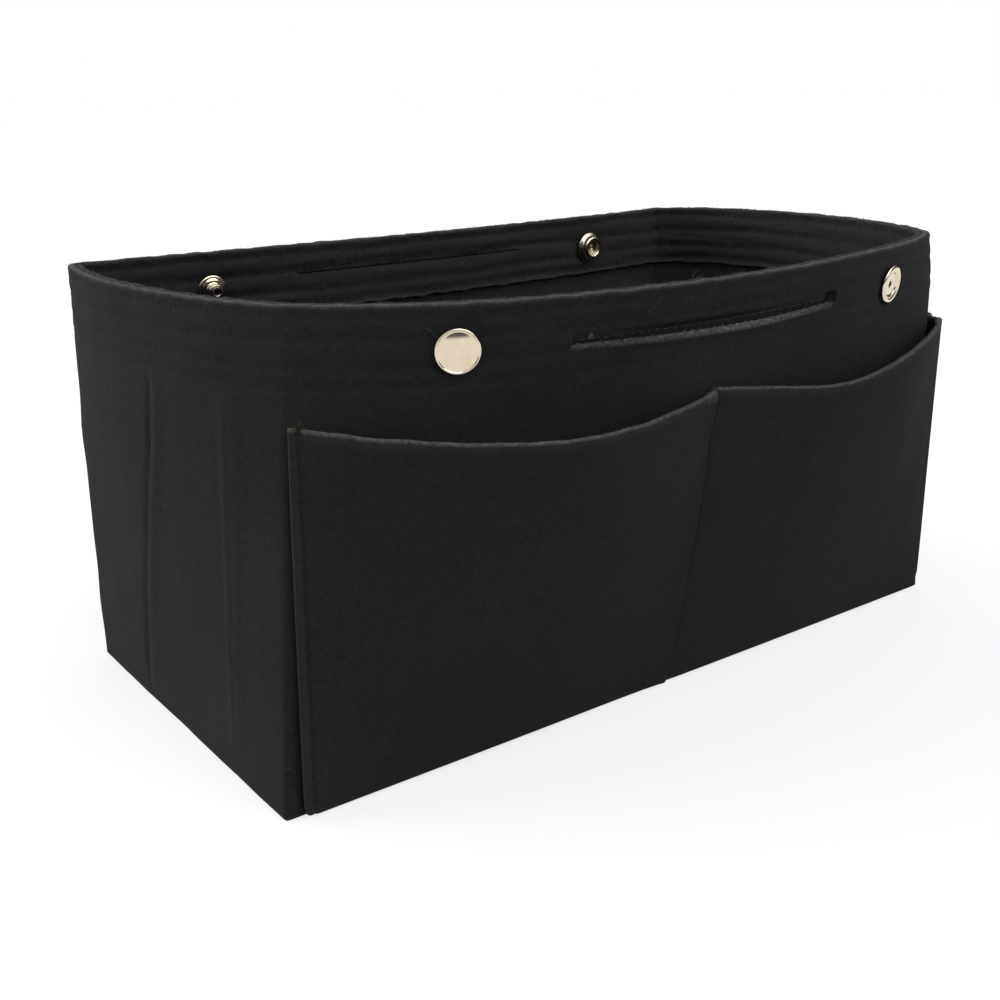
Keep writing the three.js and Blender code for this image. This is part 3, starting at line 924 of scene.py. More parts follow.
def end_holder(name, seed):
    first = WIDTH / 2 + HOLDER_OFF - HOLDER_WIDTH / 2
    rest = -(WALL_FELT + GAP) - POCKET_FELT / 2

    def middle(u, z, up):
        share = np.clip((u - first) / HOLDER_WIDTH, 0, 1)
        lift = HOLDER_BULGE * np.sin(math.pi * share) ** (2 / 3)
        return rest - lift - 0.3 * ripple(u, z, 40, seed + 3) * np.sin(math.pi * share)

    piece, face = felt_sheet(
        name,
        LEFT,
        (first, first + HOLDER_WIDTH),
        lambda u: HOLDER_FOOT + 0 * u,
        lambda u: HOLDER_TOP + 0 * u,
        middle,
        POCKET_FELT,
        step=1.0,
        seed=seed,
    )
    z = np.linspace(HOLDER_FOOT + 1.5, HOLDER_TOP - 1.5, 110)
    sides = (first + 0.7, first + HOLDER_WIDTH - 0.7)
    return piece, [face(np.full(110, u), z, -1.0) for u in sides]


BASE_PRESS = 0.1  # how far the edge of the bottom presses into the walls


def base_sheet(name):
    """The flat bottom panel with rounded edges, which reaches the walls all round."""
    half_x, half_y = LENGTH / 2 - WALL_FELT - GAP, WIDTH / 2 - WALL_FELT - GAP
    x = edge_spread(-half_x, half_x, 5, BASE_FELT / 2)
    y = edge_spread(-half_y, half_y, 5, BASE_FELT / 2)
    xx, yy = np.meshgrid(x, y, indexing="ij")
    side = np.minimum(half_x - np.abs(xx), half_y - np.abs(yy))
    half = BASE_FELT / 2 * ends_thin(side, BASE_FELT / 2)
    uneven = 0.12 * ripple(xx, yy, 60, 77) * smooth(0, 20, side)

    def wall_inside(wall, share, axis):
        place = wall + np.clip(share, 0.004, 0.996)
        return on_face(place, 0 * share + BASE_FELT / 2, -WALL_FELT + BASE_PRESS)[:, axis]

    left, right = wall_inside(LEFT, 0.5 - y / WIDTH, 0), wall_inside(RIGHT, 0.5 + y / WIDTH, 0)
    front, back = wall_inside(FRONT, 0.5 + x / LENGTH, 1), wall_inside(BACK, 0.5 - x / LENGTH, 1)
    xx = left + (xx / half_x + 1) / 2 * (right - left)
    yy = front[:, None] + (yy / half_y + 1) / 2 * (back - front)[:, None]
    top = np.stack([xx, yy, BASE_FELT / 2 + half + np.abs(uneven)], axis=-1)
    bottom = np.stack([xx, yy, BASE_FELT / 2 - half], axis=-1)
    points, index_t, index_b = sheet_grids(top, bottom)
    faces = grid_faces(index_t) + grid_faces(index_b, turn=True)
    edge = np.concatenate([(1 - smooth(0.2, 1.4, side)).ravel()] * 2)
    return finish_felt(make_mesh(name, points, faces, edge))


# Press snaps


def snap_seat(wall, share):
    """The frame of a snap: its place on the outer face and its axis out of the felt."""
    z = HEIGHT - SNAP_BELOW_RIM
    t = wall + share
    at = on_face(t, z)
    run = on_face(t + 0.01, z) - on_face(t - 0.01, z)
    rise = on_face(t, HEIGHT) - on_face(t, 0.0)
    out, run = unit(np.cross(run, rise)), unit(run)
    up = np.cross(out, run)
    seat = Matrix(np.stack([run, up, out, at * MM], axis=1).tolist()).to_4x4()
    for row in range(3):
        seat[row][3] = at[row] * MM
    return seat


METALS = {"nickel": "polished_nickel", "spring_steel": "drawn_steel"}


def turned(name, profile, seat, slot, steps=64):
    """A closed profile of (radius, height) pairs in millimetres, turned about the seat's axis."""
    profile = np.array(profile, float)
    angles = np.linspace(0, math.tau, steps, endpoint=False)
    on_axis = profile[:, 0] < 1e-9
    points = []
    index = np.zeros((steps, len(profile)), int)
    for j, (radius, height) in enumerate(profile):
        if on_axis[j]:
            index[:, j] = len(points)
            points.append((0, 0, height))
            continue
        for i, angle in enumerate(angles):
            index[i, j] = len(points)
            points.append((radius * math.cos(angle), radius * math.sin(angle), height))
    faces = []
    for i in range(steps):
        n = (i + 1) % steps
        for j in range(len(profile)):
            k = (j + 1) % len(profile)
            ring = [index[i, j], index[n, j], index[n, k], index[i, k]]
            ring = [v for at, v in enumerate(ring) if v not in ring[:at]]
            if len(ring) > 2:
                faces.append(tuple(ring))
    piece = make_mesh(name, points, faces)
    piece.data.transform(seat)
    piece.data.materials.append(bpy.data.materials[METALS[slot]])
    return piece


def rounded(profile, radius=0.25, steps=3):
    """The same closed profile with its corners rounded, apart from those on the axis."""
    result = []
    count = len(profile)
    for i, point in enumerate(profile):
        here = np.array(point, float)
        if here[0] < 1e-9:
            result.append(here)
            continue
        before = np.array(profile[i - 1], float) - here
        after = np.array(profile[(i + 1) % count], float) - here
        reach = min(radius, np.linalg.norm(before) * 0.45, np.linalg.norm(after) * 0.45)
        a = here + before / np.linalg.norm(before) * reach
        b = here + after / np.linalg.norm(after) * reach
        for s in np.linspace(0, 1, steps + 1):
            result.append((1 - s) ** 2 * a + 2 * s * (1 - s) * here + s**2 * b)
    return result


FELT_BACK = -(HEM_DEPTH + 0.3)  # where the halves lie against the felt from inside
SPRING_AT = FELT_BACK - 2.4
STUD_TIP = FELT_BACK - 0.8 - 3.4
CAP_RADIUS, CAP_RISE = 6.5, 1.7
POST_RADIUS, POST_BORE, POST_FLARE = 1.9, 1.45, 0.35


def cap_profile():
    """A shallow dome inside a thin rolled rim, with its hollow post."""
    post_end = FELT_BACK - 0.7 - 0.3 - 0.4
    bead = [
        (CAP_RADIUS - 0.45 + 0.42 * math.cos(a), 0.75 + 0.5 * math.sin(a))
        for a in np.linspace(math.radians(-75), math.radians(150), 13)
    ]
    dome = [
        (r, 0.98 + (CAP_RISE - 0.98) * (1 - (r / 5.7) ** 2.0))
        for r in np.linspace(5.65, 0, 16)
    ]
    return (
        [
            (0.0, -0.5),
            (POST_BORE, -0.5),
            (POST_BORE, post_end + 0.05),
            (POST_BORE + 0.2, post_end),
            (POST_RADIUS + POST_FLARE, post_end),
            (POST_RADIUS + POST_FLARE, post_end + 0.2),
            (POST_RADIUS, post_end + 0.4),
            (POST_RADIUS, 0.3),
        ]
        + bead
        + dome
    )


def socket_profile():
    top, mouth = FELT_BACK, FELT_BACK - 3.6
    bore, groove = 3.2, 4.2
    return rounded(
        [
            (2.2, top),
            (2.2, top - 0.7),
            (bore, top - 0.7),
            (bore, SPRING_AT + 0.65),
            (groove, SPRING_AT + 0.65),
            (groove, SPRING_AT - 0.65),
            (bore, SPRING_AT - 0.65),
            (bore, mouth + 0.35),
            (bore + 0.35, mouth),
            (bore + 1.0, mouth - 0.1),
            (bore + 1.5, mouth + 0.3),
            (5.0, top - 2.0),
            (5.3, top - 1.5),
            (6.0, top - 1.15),
            (6.4, top - 0.6),
            (6.1, top),
        ],
        radius=0.35,
        steps=4,
    )


def stud_profile():
    top, tip = FELT_BACK, STUD_TIP
    return rounded(
        [
            (1.8, top),
            (1.8, tip + 0.2),
            (2.1, tip),
            (2.55, tip + 0.05),
            (2.9, tip + 0.6),
            (2.9, tip + 1.7),
            (2.6, top - 1.5),
            (2.95, top - 1.25),
            (3.7, top - 1.15),
            (4.5, top - 0.8),
            (5.1, top - 0.75),
            (5.5, top - 0.4),
            (5.1, top),
        ],
        radius=0.35,
        steps=4,
    )


def ring_profile():
    """A rolled rim round a dished middle, with its barrel."""
    end = STUD_TIP - 0.3 - 0.4
    return rounded(
        [
            (1.1, 0.5),
            (1.1, end),
            (1.85, end),
            (1.85, end + 0.2),
            (1.5, end + 0.4),
            (1.5, 0.15),
            (6.0, 0.15),
            (6.6, 0.5),
            (6.6, 1.0),
            (6.0, 1.45),
            (5.2, 1.45),
            (4.7, 1.15),
            (4.3, 1.1),
            (3.7, 0.55),
            (1.9, 0.4),
            (1.5, 0.55),
        ],
        radius=0.4,
        steps=4,
    )


def spring_profile():
    angles = np.linspace(0, math.tau, 14, endpoint=False)
    return [(3.55 + 0.35 * math.cos(a), SPRING_AT + 0.35 * math.sin(a)) for a in angles]


# Thread


def stitch_row(paths, pitch, width, name):
    """Short stitches along paths. Each path is (points, outward directions), in millimetres."""
    sides, rings = 6, 6
    share = np.linspace(0, 1, rings)
    sink = np.array([-0.32, -0.04, 0.07, 0.07, -0.04, -0.32]) * width / 0.4
    angles = np.linspace(0, math.tau, sides, endpoint=False)
    points, faces = [], []
    count = 0
    for line, outs in paths:
        run = np.concatenate([[0.0], np.cumsum(np.linalg.norm(np.diff(line, axis=0), axis=1))])
        number = max(1, int(run[-1] / pitch))
        for k in range(number):
            at = (k + 0.1 + 0.8 * share) * run[-1] / number
            centre = np.stack([np.interp(at, run, line[:, i]) for i in range(3)], axis=1)
            out = unit(np.stack([np.interp(at, run, outs[:, i]) for i in range(3)], axis=1))
            across = np.cross(unit(np.gradient(centre, axis=0)), out)
            centre = centre + out * sink[:, None]
            ring = (
                centre[:, None]
                + across[:, None] * (np.cos(angles) * width / 2)[None, :, None]
                + out[:, None] * (np.sin(angles) * width / 2)[None, :, None]
            )
            index = count + np.arange(rings * sides).reshape(rings, sides)
            points.append(ring.reshape(-1, 3))
            faces += grid_faces(index, close_rows=True)
            faces += [tuple(index[0, ::-1]), tuple(index[-1])]
            count += rings * sides
    return finish_felt(make_mesh(name, np.concatenate(points), faces), "sewing_thread")


# Loose fibres


def fibre_mesh(name, hairs, width, material="loose_fibre"):
    """Fine three-sided hairs. Each hair is a line of points in millimetres."""
    angles = np.linspace(0, math.tau, 3, endpoint=False)
    points, faces = [], []
    count = 0
    for line in hairs:
        rings = len(line)
        along = np.gradient(line, axis=0)
        along /= np.maximum(np.linalg.norm(along, axis=1, keepdims=True), 1e-9)
        across = np.cross(along, (0.31, 0.52, 0.79))
        across /= np.maximum(np.linalg.norm(across, axis=1, keepdims=True), 1e-9)
        other = np.cross(along, across)
        thick = width / 2 * (1 - 0.6 * np.linspace(0, 1, rings) ** 2)[:, None, None]
        turn = across[:, None] * np.cos(angles)[None, :, None]
        turn = turn + other[:, None] * np.sin(angles)[None, :, None]
        points.append((line[:, None] + turn * thick).reshape(-1, 3))
        index = count + np.arange(rings * 3).reshape(rings, 3)
        faces += grid_faces(index, close_rows=True)
        faces += [tuple(index[0, ::-1]), tuple(index[-1])]
        count += rings * 3
    return finish_felt(make_mesh(name, np.concatenate(points), faces), material)


def hair(rng, foot, away, along, length, lift):
    """A curved hair from a point on the felt: away is out of the felt, along lies in it."""
    side = np.cross(away, along)
    angle = rng.uniform(0, math.tau)
    lean = along * math.cos(angle) + side * math.sin(angle)
    curl = np.cross(away, lean) * rng.normal(0, 0.45)
    s = np.linspace(0, 1, 5)[:, None]
    return foot - away * 0.05 + length * (lean * s + curl * s**2) + away * lift * np.sin(s * 2.2)


def surface_frame(t, z, out, facing=1.0):
    """A point of the felt, its direction out and a direction along it."""
    at = on_face(t, z, out)
    away = on_face(t, z, out + facing) - at
    along = on_face(t + 0.002, z, out) - at
    return at, unit(away), unit(along)


def wall_hairs(span, count, seed, groove, shell_seed=100):
    """Hairs on the outer face, the hem inside and the cut edges of a length of wall."""
    rng = np.random.default_rng(seed)
    hairs = []
    for number in range(count):
        t = rng.uniform(*span)
        kind = number % 10
        if kind < 4:
            z = rng.uniform(3, HEIGHT - 2)
            relief = hem_relief(t, z, groove * OUTSIDE_GROOVE, shell_seed)
            out = float(relief + wall_relief(t, z, shell_seed + 3))
            at, away, along = surface_frame(t, z, out)
            hairs.append(hair(rng, at, away, along, rng.uniform(0.7, 2.4), rng.uniform(0.05, 0.3)))
        elif kind < 9:
            out = -rng.uniform(0.0, HEM_DEPTH)
            at, away, along = surface_frame(t, HEIGHT - 0.1, out)
            up = unit(np.array([0, 0, 1.0]) + away * (0.5 if out > -HEM_DEPTH / 2 else -0.5))
            hairs.append(hair(rng, at, up, along, rng.uniform(0.3, 1.3), rng.uniform(0.15, 0.75)))
        else:
            z = HEIGHT - HEM_HEIGHT
            at, away, along = surface_frame(t, z, -HEM_DEPTH + 0.2, -1.0)
            down = unit(away - np.array([0, 0, 1.0]))
            hairs.append(hair(rng, at, down, along, rng.uniform(0.3, 1.3), rng.uniform(0.1, 0.6)))
    return hairs


def line_hairs(line, away, count, seed, length=(0.3, 1.2), lift=(0.1, 0.6)):
    """Hairs along a cut edge given by its points and its directions out."""
    rng = np.random.default_rng(seed)
    hairs = []
    for _ in range(count):
        k = rng.uniform(0, len(line) - 1.001)
        low = int(k)
        along = line[low + 1] - line[low]
        at, out, along = line[low] + along * (k - low), unit(away[low]), unit(along)
        hairs.append(hair(rng, at, out, along, rng.uniform(*length), rng.uniform(*lift)))
    return hairs


def path_on_face(t, z, out, facing=1.0):
    """A path on a face, with its outward directions."""
    line = on_face(t, z, out)
    return line, on_face(t, z, np.add(out, facing)) - line


def hem_paths(stops, groove, inside, seed=100):
    """The rows of topstitching on one length of wall, on its outer or inner side."""
    paths = []
    t = columns(stops, 0.8)
    for row in range(len(STITCH_ROWS)):
        z = row_height(row, t)
        if inside:
            relief = hem_relief(t, z, groove * INSIDE_GROOVE, seed + 40)
            out = -HEM_DEPTH - relief + wall_relief(t, z, seed + 3)
            paths.append(path_on_face(t, z, out, -1.0))
        else:
            relief = hem_relief(t, z, groove * OUTSIDE_GROOVE, seed)
            out = relief + wall_relief(t, z, seed + 3) - 0.07
            paths.append(path_on_face(t, z, out))
    return paths


def sew(name, paths):
    s = sizes()
    return stitch_row(paths, in_mm(s.stitch_pitch), in_mm(s.thread_width), name)


# Materials


def new_group(name, inputs, outputs):
    group = bpy.data.node_groups.new(name, "ShaderNodeTree")
    for socket, kind, default in inputs:
        made = group.interface.new_socket(name=socket, in_out="INPUT", socket_type=kind)
        if default is not None:
            made.default_value = default
    for socket, kind in outputs:
        group.interface.new_socket(name=socket, in_out="OUTPUT", socket_type=kind)
    return group, group.nodes.new("NodeGroupInput"), group.nodes.new("NodeGroupOutput")


def feed(tree, made, fed):
    """Gives a node its inputs by name or number: a socket is linked, any other value is set."""
    for key, value in dict(fed).items():
        if isinstance(value, bpy.types.NodeSocket):
            tree.links.new(value, made.inputs[key])
        else:
            made.inputs[key].default_value = value


def node(tree, kind, fed=(), **settings):
    made = tree.nodes.new("ShaderNode" + kind)
    for key, value in settings.items():
        setattr(made, key, value)
    feed(tree, made, fed)
    return made


def calc(tree, operation, *values, **settings):
    return node(tree, "Math", enumerate(values), operation=operation, **settings).outputs[0]


def noise(tree, place, scale, detail, **others):
    fed = {"Vector": place, "Scale": scale, "Detail": detail, **others}
    return node(tree, "TexNoise", fed).outputs["Fac"]


def remap(tree, value, low=0.0, high=1.0, to_low=0.0, to_high=1.0):
    fed = {"Value": value, "From Min": low, "From Max": high, "To Min": to_low, "To Max": to_high}
    return node(tree, "MapRange", fed).outputs[0]


def stretched(tree, place, turn, stretch):
    fed = {"Vector": place, "Rotation": turn, "Scale": stretch}
    return node(tree, "Mapping", fed).outputs["Vector"]


def toned(tree, colour, factor):
    return node(tree, "VectorMath", {0: colour, "Scale": factor}, operation="SCALE").outputs[0]


def felt_fibre_group():
    """Matted fibres: a mottled colour, a height and a roughness."""
    group, start, end = new_group(
        "Felt fibres",
        [
            ("Colour", "NodeSocketColor", (0.02, 0.02, 0.022, 1)),
            ("Cut edge colour", "NodeSocketColor", (0.08, 0.08, 0.08, 1)),
            # the cut-edge share, which also carries painted light on the inner faces, the slot lip
            # and the rim
            ("Cut edge", "NodeSocketFloat", 0.0),
            ("Mottling", "NodeSocketFloat", 0.35),
        ],
        [
            ("Colour", "NodeSocketColor"),
            ("Height", "NodeSocketFloat"),
            ("Roughness", "NodeSocketFloat"),
        ],
    )
    place = node(group, "TexCoord").outputs["Object"]
    strands = [
        noise(group, stretched(group, place, turn, stretch), 1.0, 3.0, Distortion=1.3)
        for turn, stretch in (
            ((0.3, 0.5, 0.2), (1500, 1500, 190)),
            ((1.2, -0.4, 0.9), (210, 1600, 1500)),
            ((-0.7, 0.9, 1.7), (1500, 230, 1400)),
        )
    ]
    fibres = calc(group, "MAXIMUM", calc(group, "MAXIMUM", *strands[:2]), strands[2])
    cloud = noise(group, place, 620.0, 5.0, Roughness=0.6)
    drift = remap(group, noise(group, place, 16.0, 3.0), 0.3, 0.7, 0.9, 1.1)
    low, high = (calc(group, way, 1.0, start.outputs["Mottling"]) for way in ("SUBTRACT", "ADD"))
    fed = {"Factor": remap(group, cloud, 0.25, 0.75), "A": low, "B": high}
    shade = node(group, "Mix", fed, data_type="FLOAT").outputs["Result"]
    mottled = toned(group, start.outputs["Colour"], calc(group, "MULTIPLY", shade, drift))
    # The cut edges are pale and ragged, and a few loose fibres are as pale. The cut-edge share also
    # brings painted light: on the inner faces, on the front slot's lower lip and as a highlight
    # along the rim
    tufts = remap(group, noise(group, place, 850.0, 3.0, Roughness=0.7), 0.36, 0.66, 0.5, 1.5)
    ragged = calc(group, "MULTIPLY", start.outputs["Cut edge"], tufts)
    loose = calc(group, "MULTIPLY", remap(group, fibres, 0.7, 0.82), 0.16)
    pale = calc(group, "MAXIMUM", ragged, loose)
    fed = {"Factor": pale, "A": mottled, "B": start.outputs["Cut edge colour"]}
    mixed = node(group, "Mix", fed, data_type="RGBA", clamp_factor=False).outputs["Result"]
    height = calc(group, "ADD", fibres, calc(group, "MULTIPLY", cloud, 0.8))
    rough = remap(group, fibres, to_low=0.98, to_high=0.86)
    feed(group, end, {"Colour": mixed, "Height": height, "Roughness": rough})
    return group


def handling_group():
    """Fine scratches and smudges on polished metal."""
    group, start, end = new_group(
        "Handling marks",
        [
            ("Colour", "NodeSocketColor", (0.7, 0.7, 0.7, 1)),
            ("Roughness", "NodeSocketFloat", 0.1),
            ("Marks", "NodeSocketFloat", 0.2),
        ],
        [
            ("Colour", "NodeSocketColor"),
            ("Roughness", "NodeSocketFloat"),
            ("Height", "NodeSocketFloat"),
        ],
    )
    place = node(group, "TexCoord").outputs["Object"]
    colour, roughness, marks = (start.outputs[name] for name in ("Colour", "Roughness", "Marks"))
    scratch = noise(group, stretched(group, place, (0.4, 0.2, 0.7), (4200, 260, 900)), 1.0, 4.0)
    smudge = noise(group, place, 330.0, 2.0)
    fine = calc(group, "MULTIPLY", scratch, marks)
    soft = calc(group, "MULTIPLY_ADD", smudge, marks, roughness)
    rough = calc(group, "ADD", calc(group, "MULTIPLY", fine, 0.4), soft, use_clamp=True)
    dull = toned(group, colour, remap(group, smudge, to_low=1.06, to_high=0.86))
    feed(group, end, {"Colour": dull, "Roughness": rough, "Height": fine})
    return group


def new_material(name):
    material = bpy.data.materials.new(name)
    material.use_nodes = True
    return material, material.node_tree, material.node_tree.nodes["Principled BSDF"]


def cover(tree, shader, group, fed, strength, distance):
    """Puts the colour, roughness and height of a group on a shader."""
    made = node(tree, "Group", fed, node_tree=group)
    bump = {"Strength": strength, "Distance": distance, "Height": made.outputs["Height"]}
    looks = {
        "Base Color": made.outputs["Colour"],
        "Roughness": made.outputs["Roughness"],
        "Normal": node(tree, "Bump", bump).outputs["Normal"],
    }
    feed(tree, shader, looks)


def rgba(colour):
    return (*colour, 1.0)


def felt_material(name, group, colour, edge_colour, mottling, bump):
    material, tree, shader = new_material(name)
    fed = {
        "Colour": rgba(colour),
        "Cut edge colour": rgba(edge_colour),
        # the cut-edge share, with its painted light on the inner faces, the slot lip and the rim
        "Cut edge": node(tree, "Attribute", attribute_name="edge").outputs["Fac"],
        "Mottling": mottling,
    }
    cover(tree, shader, group, fed, bump, 0.0004)
    shader.inputs["Specular IOR Level"].default_value = 0.03
    shader.inputs["Sheen Weight"].default_value = 0.03
    shader.inputs["Sheen Roughness"].default_value = 0.5
    shader.inputs["Sheen Tint"].default_value = (0.8, 0.8, 0.85, 1)
    return material


def metal_material(name, group, colour, roughness, marks):
    material, tree, shader = new_material(name)
    fed = {"Colour": rgba(colour), "Roughness": roughness, "Marks": marks}
    cover(tree, shader, group, fed, 0.05, 0.00005)
    shader.inputs["Metallic"].default_value = 1.0
    return material


# Settings


class OrganizerSizes(bpy.types.PropertyGroup):
    """Sizes of the sewing and the felt surface"""

    hem_groove: FloatProperty(
        name="Hem groove",
        description="How deep the rows of topstitching press into the hem",
        default=0.0006,
        min=0,
        unit="LENGTH",
    )
    stitch_pitch: FloatProperty(
        name="Stitch pitch",
        description="Distance from one stitch to the next",
        default=0.0032,
        min=0.001,
        unit="LENGTH",
    )
    thread_width: FloatProperty(
        name="Thread width",
        description="Thickness of the sewing thread",
        default=0.0004,
        min=0.0001,
        unit="LENGTH",
    )
    loose_fibres: IntProperty(
        name="Loose fibres",
        description="Number of stray fibres on the felt and its cut edges",
        default=3600,
        min=0,
    )


class OrganizerColours(bpy.types.PropertyGroup):
    """Colours of the felt, thread, metal and floor"""

    felt: FloatVectorProperty(
        name="Felt",
        description="Colour of the felt",
        subtype="COLOR",
        default=(0.0165, 0.0165, 0.0175),
    )
    # the paler colour of cut edges, also mixed in as painted light on the inner faces, the front
    # slot's lower lip and the rim
    cut_edge_and_painted_light: FloatVectorProperty(
        name="Cut edge",
        description="Colour of the felt's fuzzy cut edges",
        subtype="COLOR",
        default=(0.06, 0.06, 0.0585),
    )
    # painted sheen: the loose fibres get a colour lighter than the felt to stand in for the sheen
    # of the fuzz
    fibre_painted_sheen: FloatVectorProperty(
        name="Fibre",
        description="Colour of the loose fibres",
        subtype="COLOR",
        default=(0.055, 0.055, 0.057),
    )
    thread_end: FloatVectorProperty(
        name="Thread end",
        description="Colour of the loose thread end at the front pocket",
        subtype="COLOR",
        default=(0.034, 0.032, 0.017),
    )
    thread: FloatVectorProperty(
        name="Thread",
        description="Colour of the sewing thread",
        subtype="COLOR",
        default=(0.0165, 0.0165, 0.0175),
    )
    nickel: FloatVectorProperty(
        name="Nickel",
        description="Colour of the snaps",
        subtype="COLOR",
        default=(0.72, 0.63, 0.475),
    )
    steel: FloatVectorProperty(
        name="Steel",
        description="Colour of the snap springs",
        subtype="COLOR",
        default=(0.55, 0.55, 0.56),
    )
    floor: FloatVectorProperty(
        name="Floor",
        description="Colour of the floor in the light",
        subtype="COLOR",
        default=(0.3, 0.3, 0.3),
    )


def sizes():
    return bpy.context.scene.organizer_sizes


def colours():
    return bpy.context.scene.organizer_colours


def in_mm(value):
    return value / MM


# Operators

SEAM = SEAM_FROM_CORNER / LENGTH
SLOTS = {"front": (0.2985, 0.693), "back": (0.3214, 0.7036)}
SNAP = SNAP_FROM_CORNER / LENGTH


class ORGANIZER_OT_materials(bpy.types.Operator):
    """Make the felt, thread and metal materials"""

    bl_idname = "organizer.materials"
    bl_label = "Materials"

    def execute(self, context):
        c = colours()
        fibres = felt_fibre_group()
        marks = handling_group()
        felt_material("needle_felt", fibres, c.felt, c.cut_edge_and_painted_light, 0.22, 0.5)
        felt_material("sewing_thread", fibres, c.thread, c.cut_edge_and_painted_light, 0.2, 0.2)
        felt_material("loose_fibre", fibres, c.fibre_painted_sheen, c.cut_edge_and_painted_light, 0.5, 0.1)
        felt_material("thread_end", fibres, c.thread_end, c.cut_edge_and_painted_light, 0.3, 0.1)
        metal_material("polished_nickel", marks, c.nickel, 0.06, 0.1)
        metal_material("drawn_steel", marks, c.steel, 0.25, 0.2)
        return {"FINISHED"}


class ORGANIZER_OT_base(bpy.types.Operator):
    """Make the bottom panel"""

    bl_idname = "organizer.base"
    bl_label = "Base"

    def execute(self, context):
        base = base_sheet("base_felt")
        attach(base, "root")
        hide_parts("base_panel")
        return {"FINISHED"}


def blend_starts(wall):
    """Where the two halves of an end begin to fold: the least and most Y of its middle line."""
    y = on_face(wall + 0.5, np.linspace(0, HEIGHT, 20), -HEM_DEPTH / 2)[:, 1]
    return float(y.min()) * MM, float(y.max()) * MM


def fold_with_end(piece, end, body, out=0.0):
    """Bakes the piece's placement into its mesh. It also works out a start and a way across the
    end, with out, in metres, as how far outside the wall the piece lies, but nothing uses them."""
    wall = RIGHT if end == "right" else LEFT
    side = -1 if body == "front" else 1
    x = LENGTH / 2 * MM * (1 if end == "right" else -1)
    start = np.array([x, blend_starts(wall)[0 if body == "front" else 1]])
    way = np.array([x * (1 - 2 * SEAM), side * WIDTH / 2 * MM]) - start
    at_start = (end == "left") == (body == "front")
    at_seam = (FRONT if body == "front" else BACK) + (SEAM if at_start else 1 - SEAM)
    seam = on_face(at_seam, np.linspace(0, HEIGHT, 30), -HEM_DEPTH)[:, :2] * MM - start
    way *= float((seam @ way).min() / (way @ way))
    start[1] += side * out
    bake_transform(piece)


def flat_width(stops):
    """The width of a length of wall in metres, before it was bent, halfway up."""
    t = np.linspace(stops[0], stops[-1], 400)
    line = on_face(t, np.full(400, HEIGHT / 2))
    return float(np.linalg.norm(np.diff(line, axis=0), axis=1).sum()) * MM


def declare_wall(shell, stops, *sewn_on):
    """Works out the flat width and height of a length of wall with its facing strip, in metres, but
    nothing uses them.
    """
    tall = (HEIGHT + HEM_HEIGHT) * MM
    flat = (round(flat_width(stops), 4), round(tall, 4))


def declare_pocket(piece, replaced, width, rests_on):
    """Hides the model's node that a pocket panel replaces. width, in metres, is not used."""
    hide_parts(replaced)


def share_of_fibres(share):
    return int(sizes().loose_fibres * share)


class ORGANIZER_OT_walls(bpy.types.Operator):
    """Make the long walls and the folding ends, with their hems"""

    bl_idname = "organizer.walls"
    bl_label = "Walls"

    def execute(self, context):
        groove = in_mm(sizes().hem_groove)
        for body, wall in (("front", FRONT), ("back", BACK)):
            stops = [wall + share for share in (SEAM, *SLOTS[body], 1 - SEAM)]
            dimples = [(wall + SNAP, 6.6, 0.5), (wall + 1 - SNAP, 6.6, 0.5)]
            shell = wall_shell(f"{body}_wall_felt", stops, groove, body, dimples)
            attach(shell, body)
            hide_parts(f"{body}_wall", f"{body}_facing")
            ends = [stops[0], stops[-1]]
            paths = hem_paths(ends, groove, False) + hem_paths(ends, groove, True)
            thread = sew(f"{body}_hem_thread", paths)
            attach(thread, body)
            declare_wall(shell, ends, thread)
        for end, wall in (("right", RIGHT), ("left", LEFT)):
            before = "front" if end == "right" else "back"
            after = "back" if end == "right" else "front"
            halves = (
                (before, [wall - SEAM, wall + 0.5]),
                (after, [wall + 0.5, wall + 1 + SEAM]),
            )
            for body, stops in halves:
                name = f"{end}_end_felt_{body}"
                shell = wall_shell(name, stops, groove)
                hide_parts(f"{end}_end_gusset", f"{end}_end_facing")
                paths = hem_paths(stops, groove, False) + hem_paths(stops, groove, True)
                thread = sew(f"{end}_end_thread_{body}", paths)
                hairs = wall_hairs(stops, share_of_fibres(0.11), 61 + len(name) + wall, groove)
                fibres = fibre_mesh(f"{end}_end_fibres_{body}", hairs, 0.1)
                for piece in (shell, thread, fibres):
                    fold_with_end(piece, end, body)
                declare_wall(shell, stops, thread, fibres)
        return {"FINISHED"}


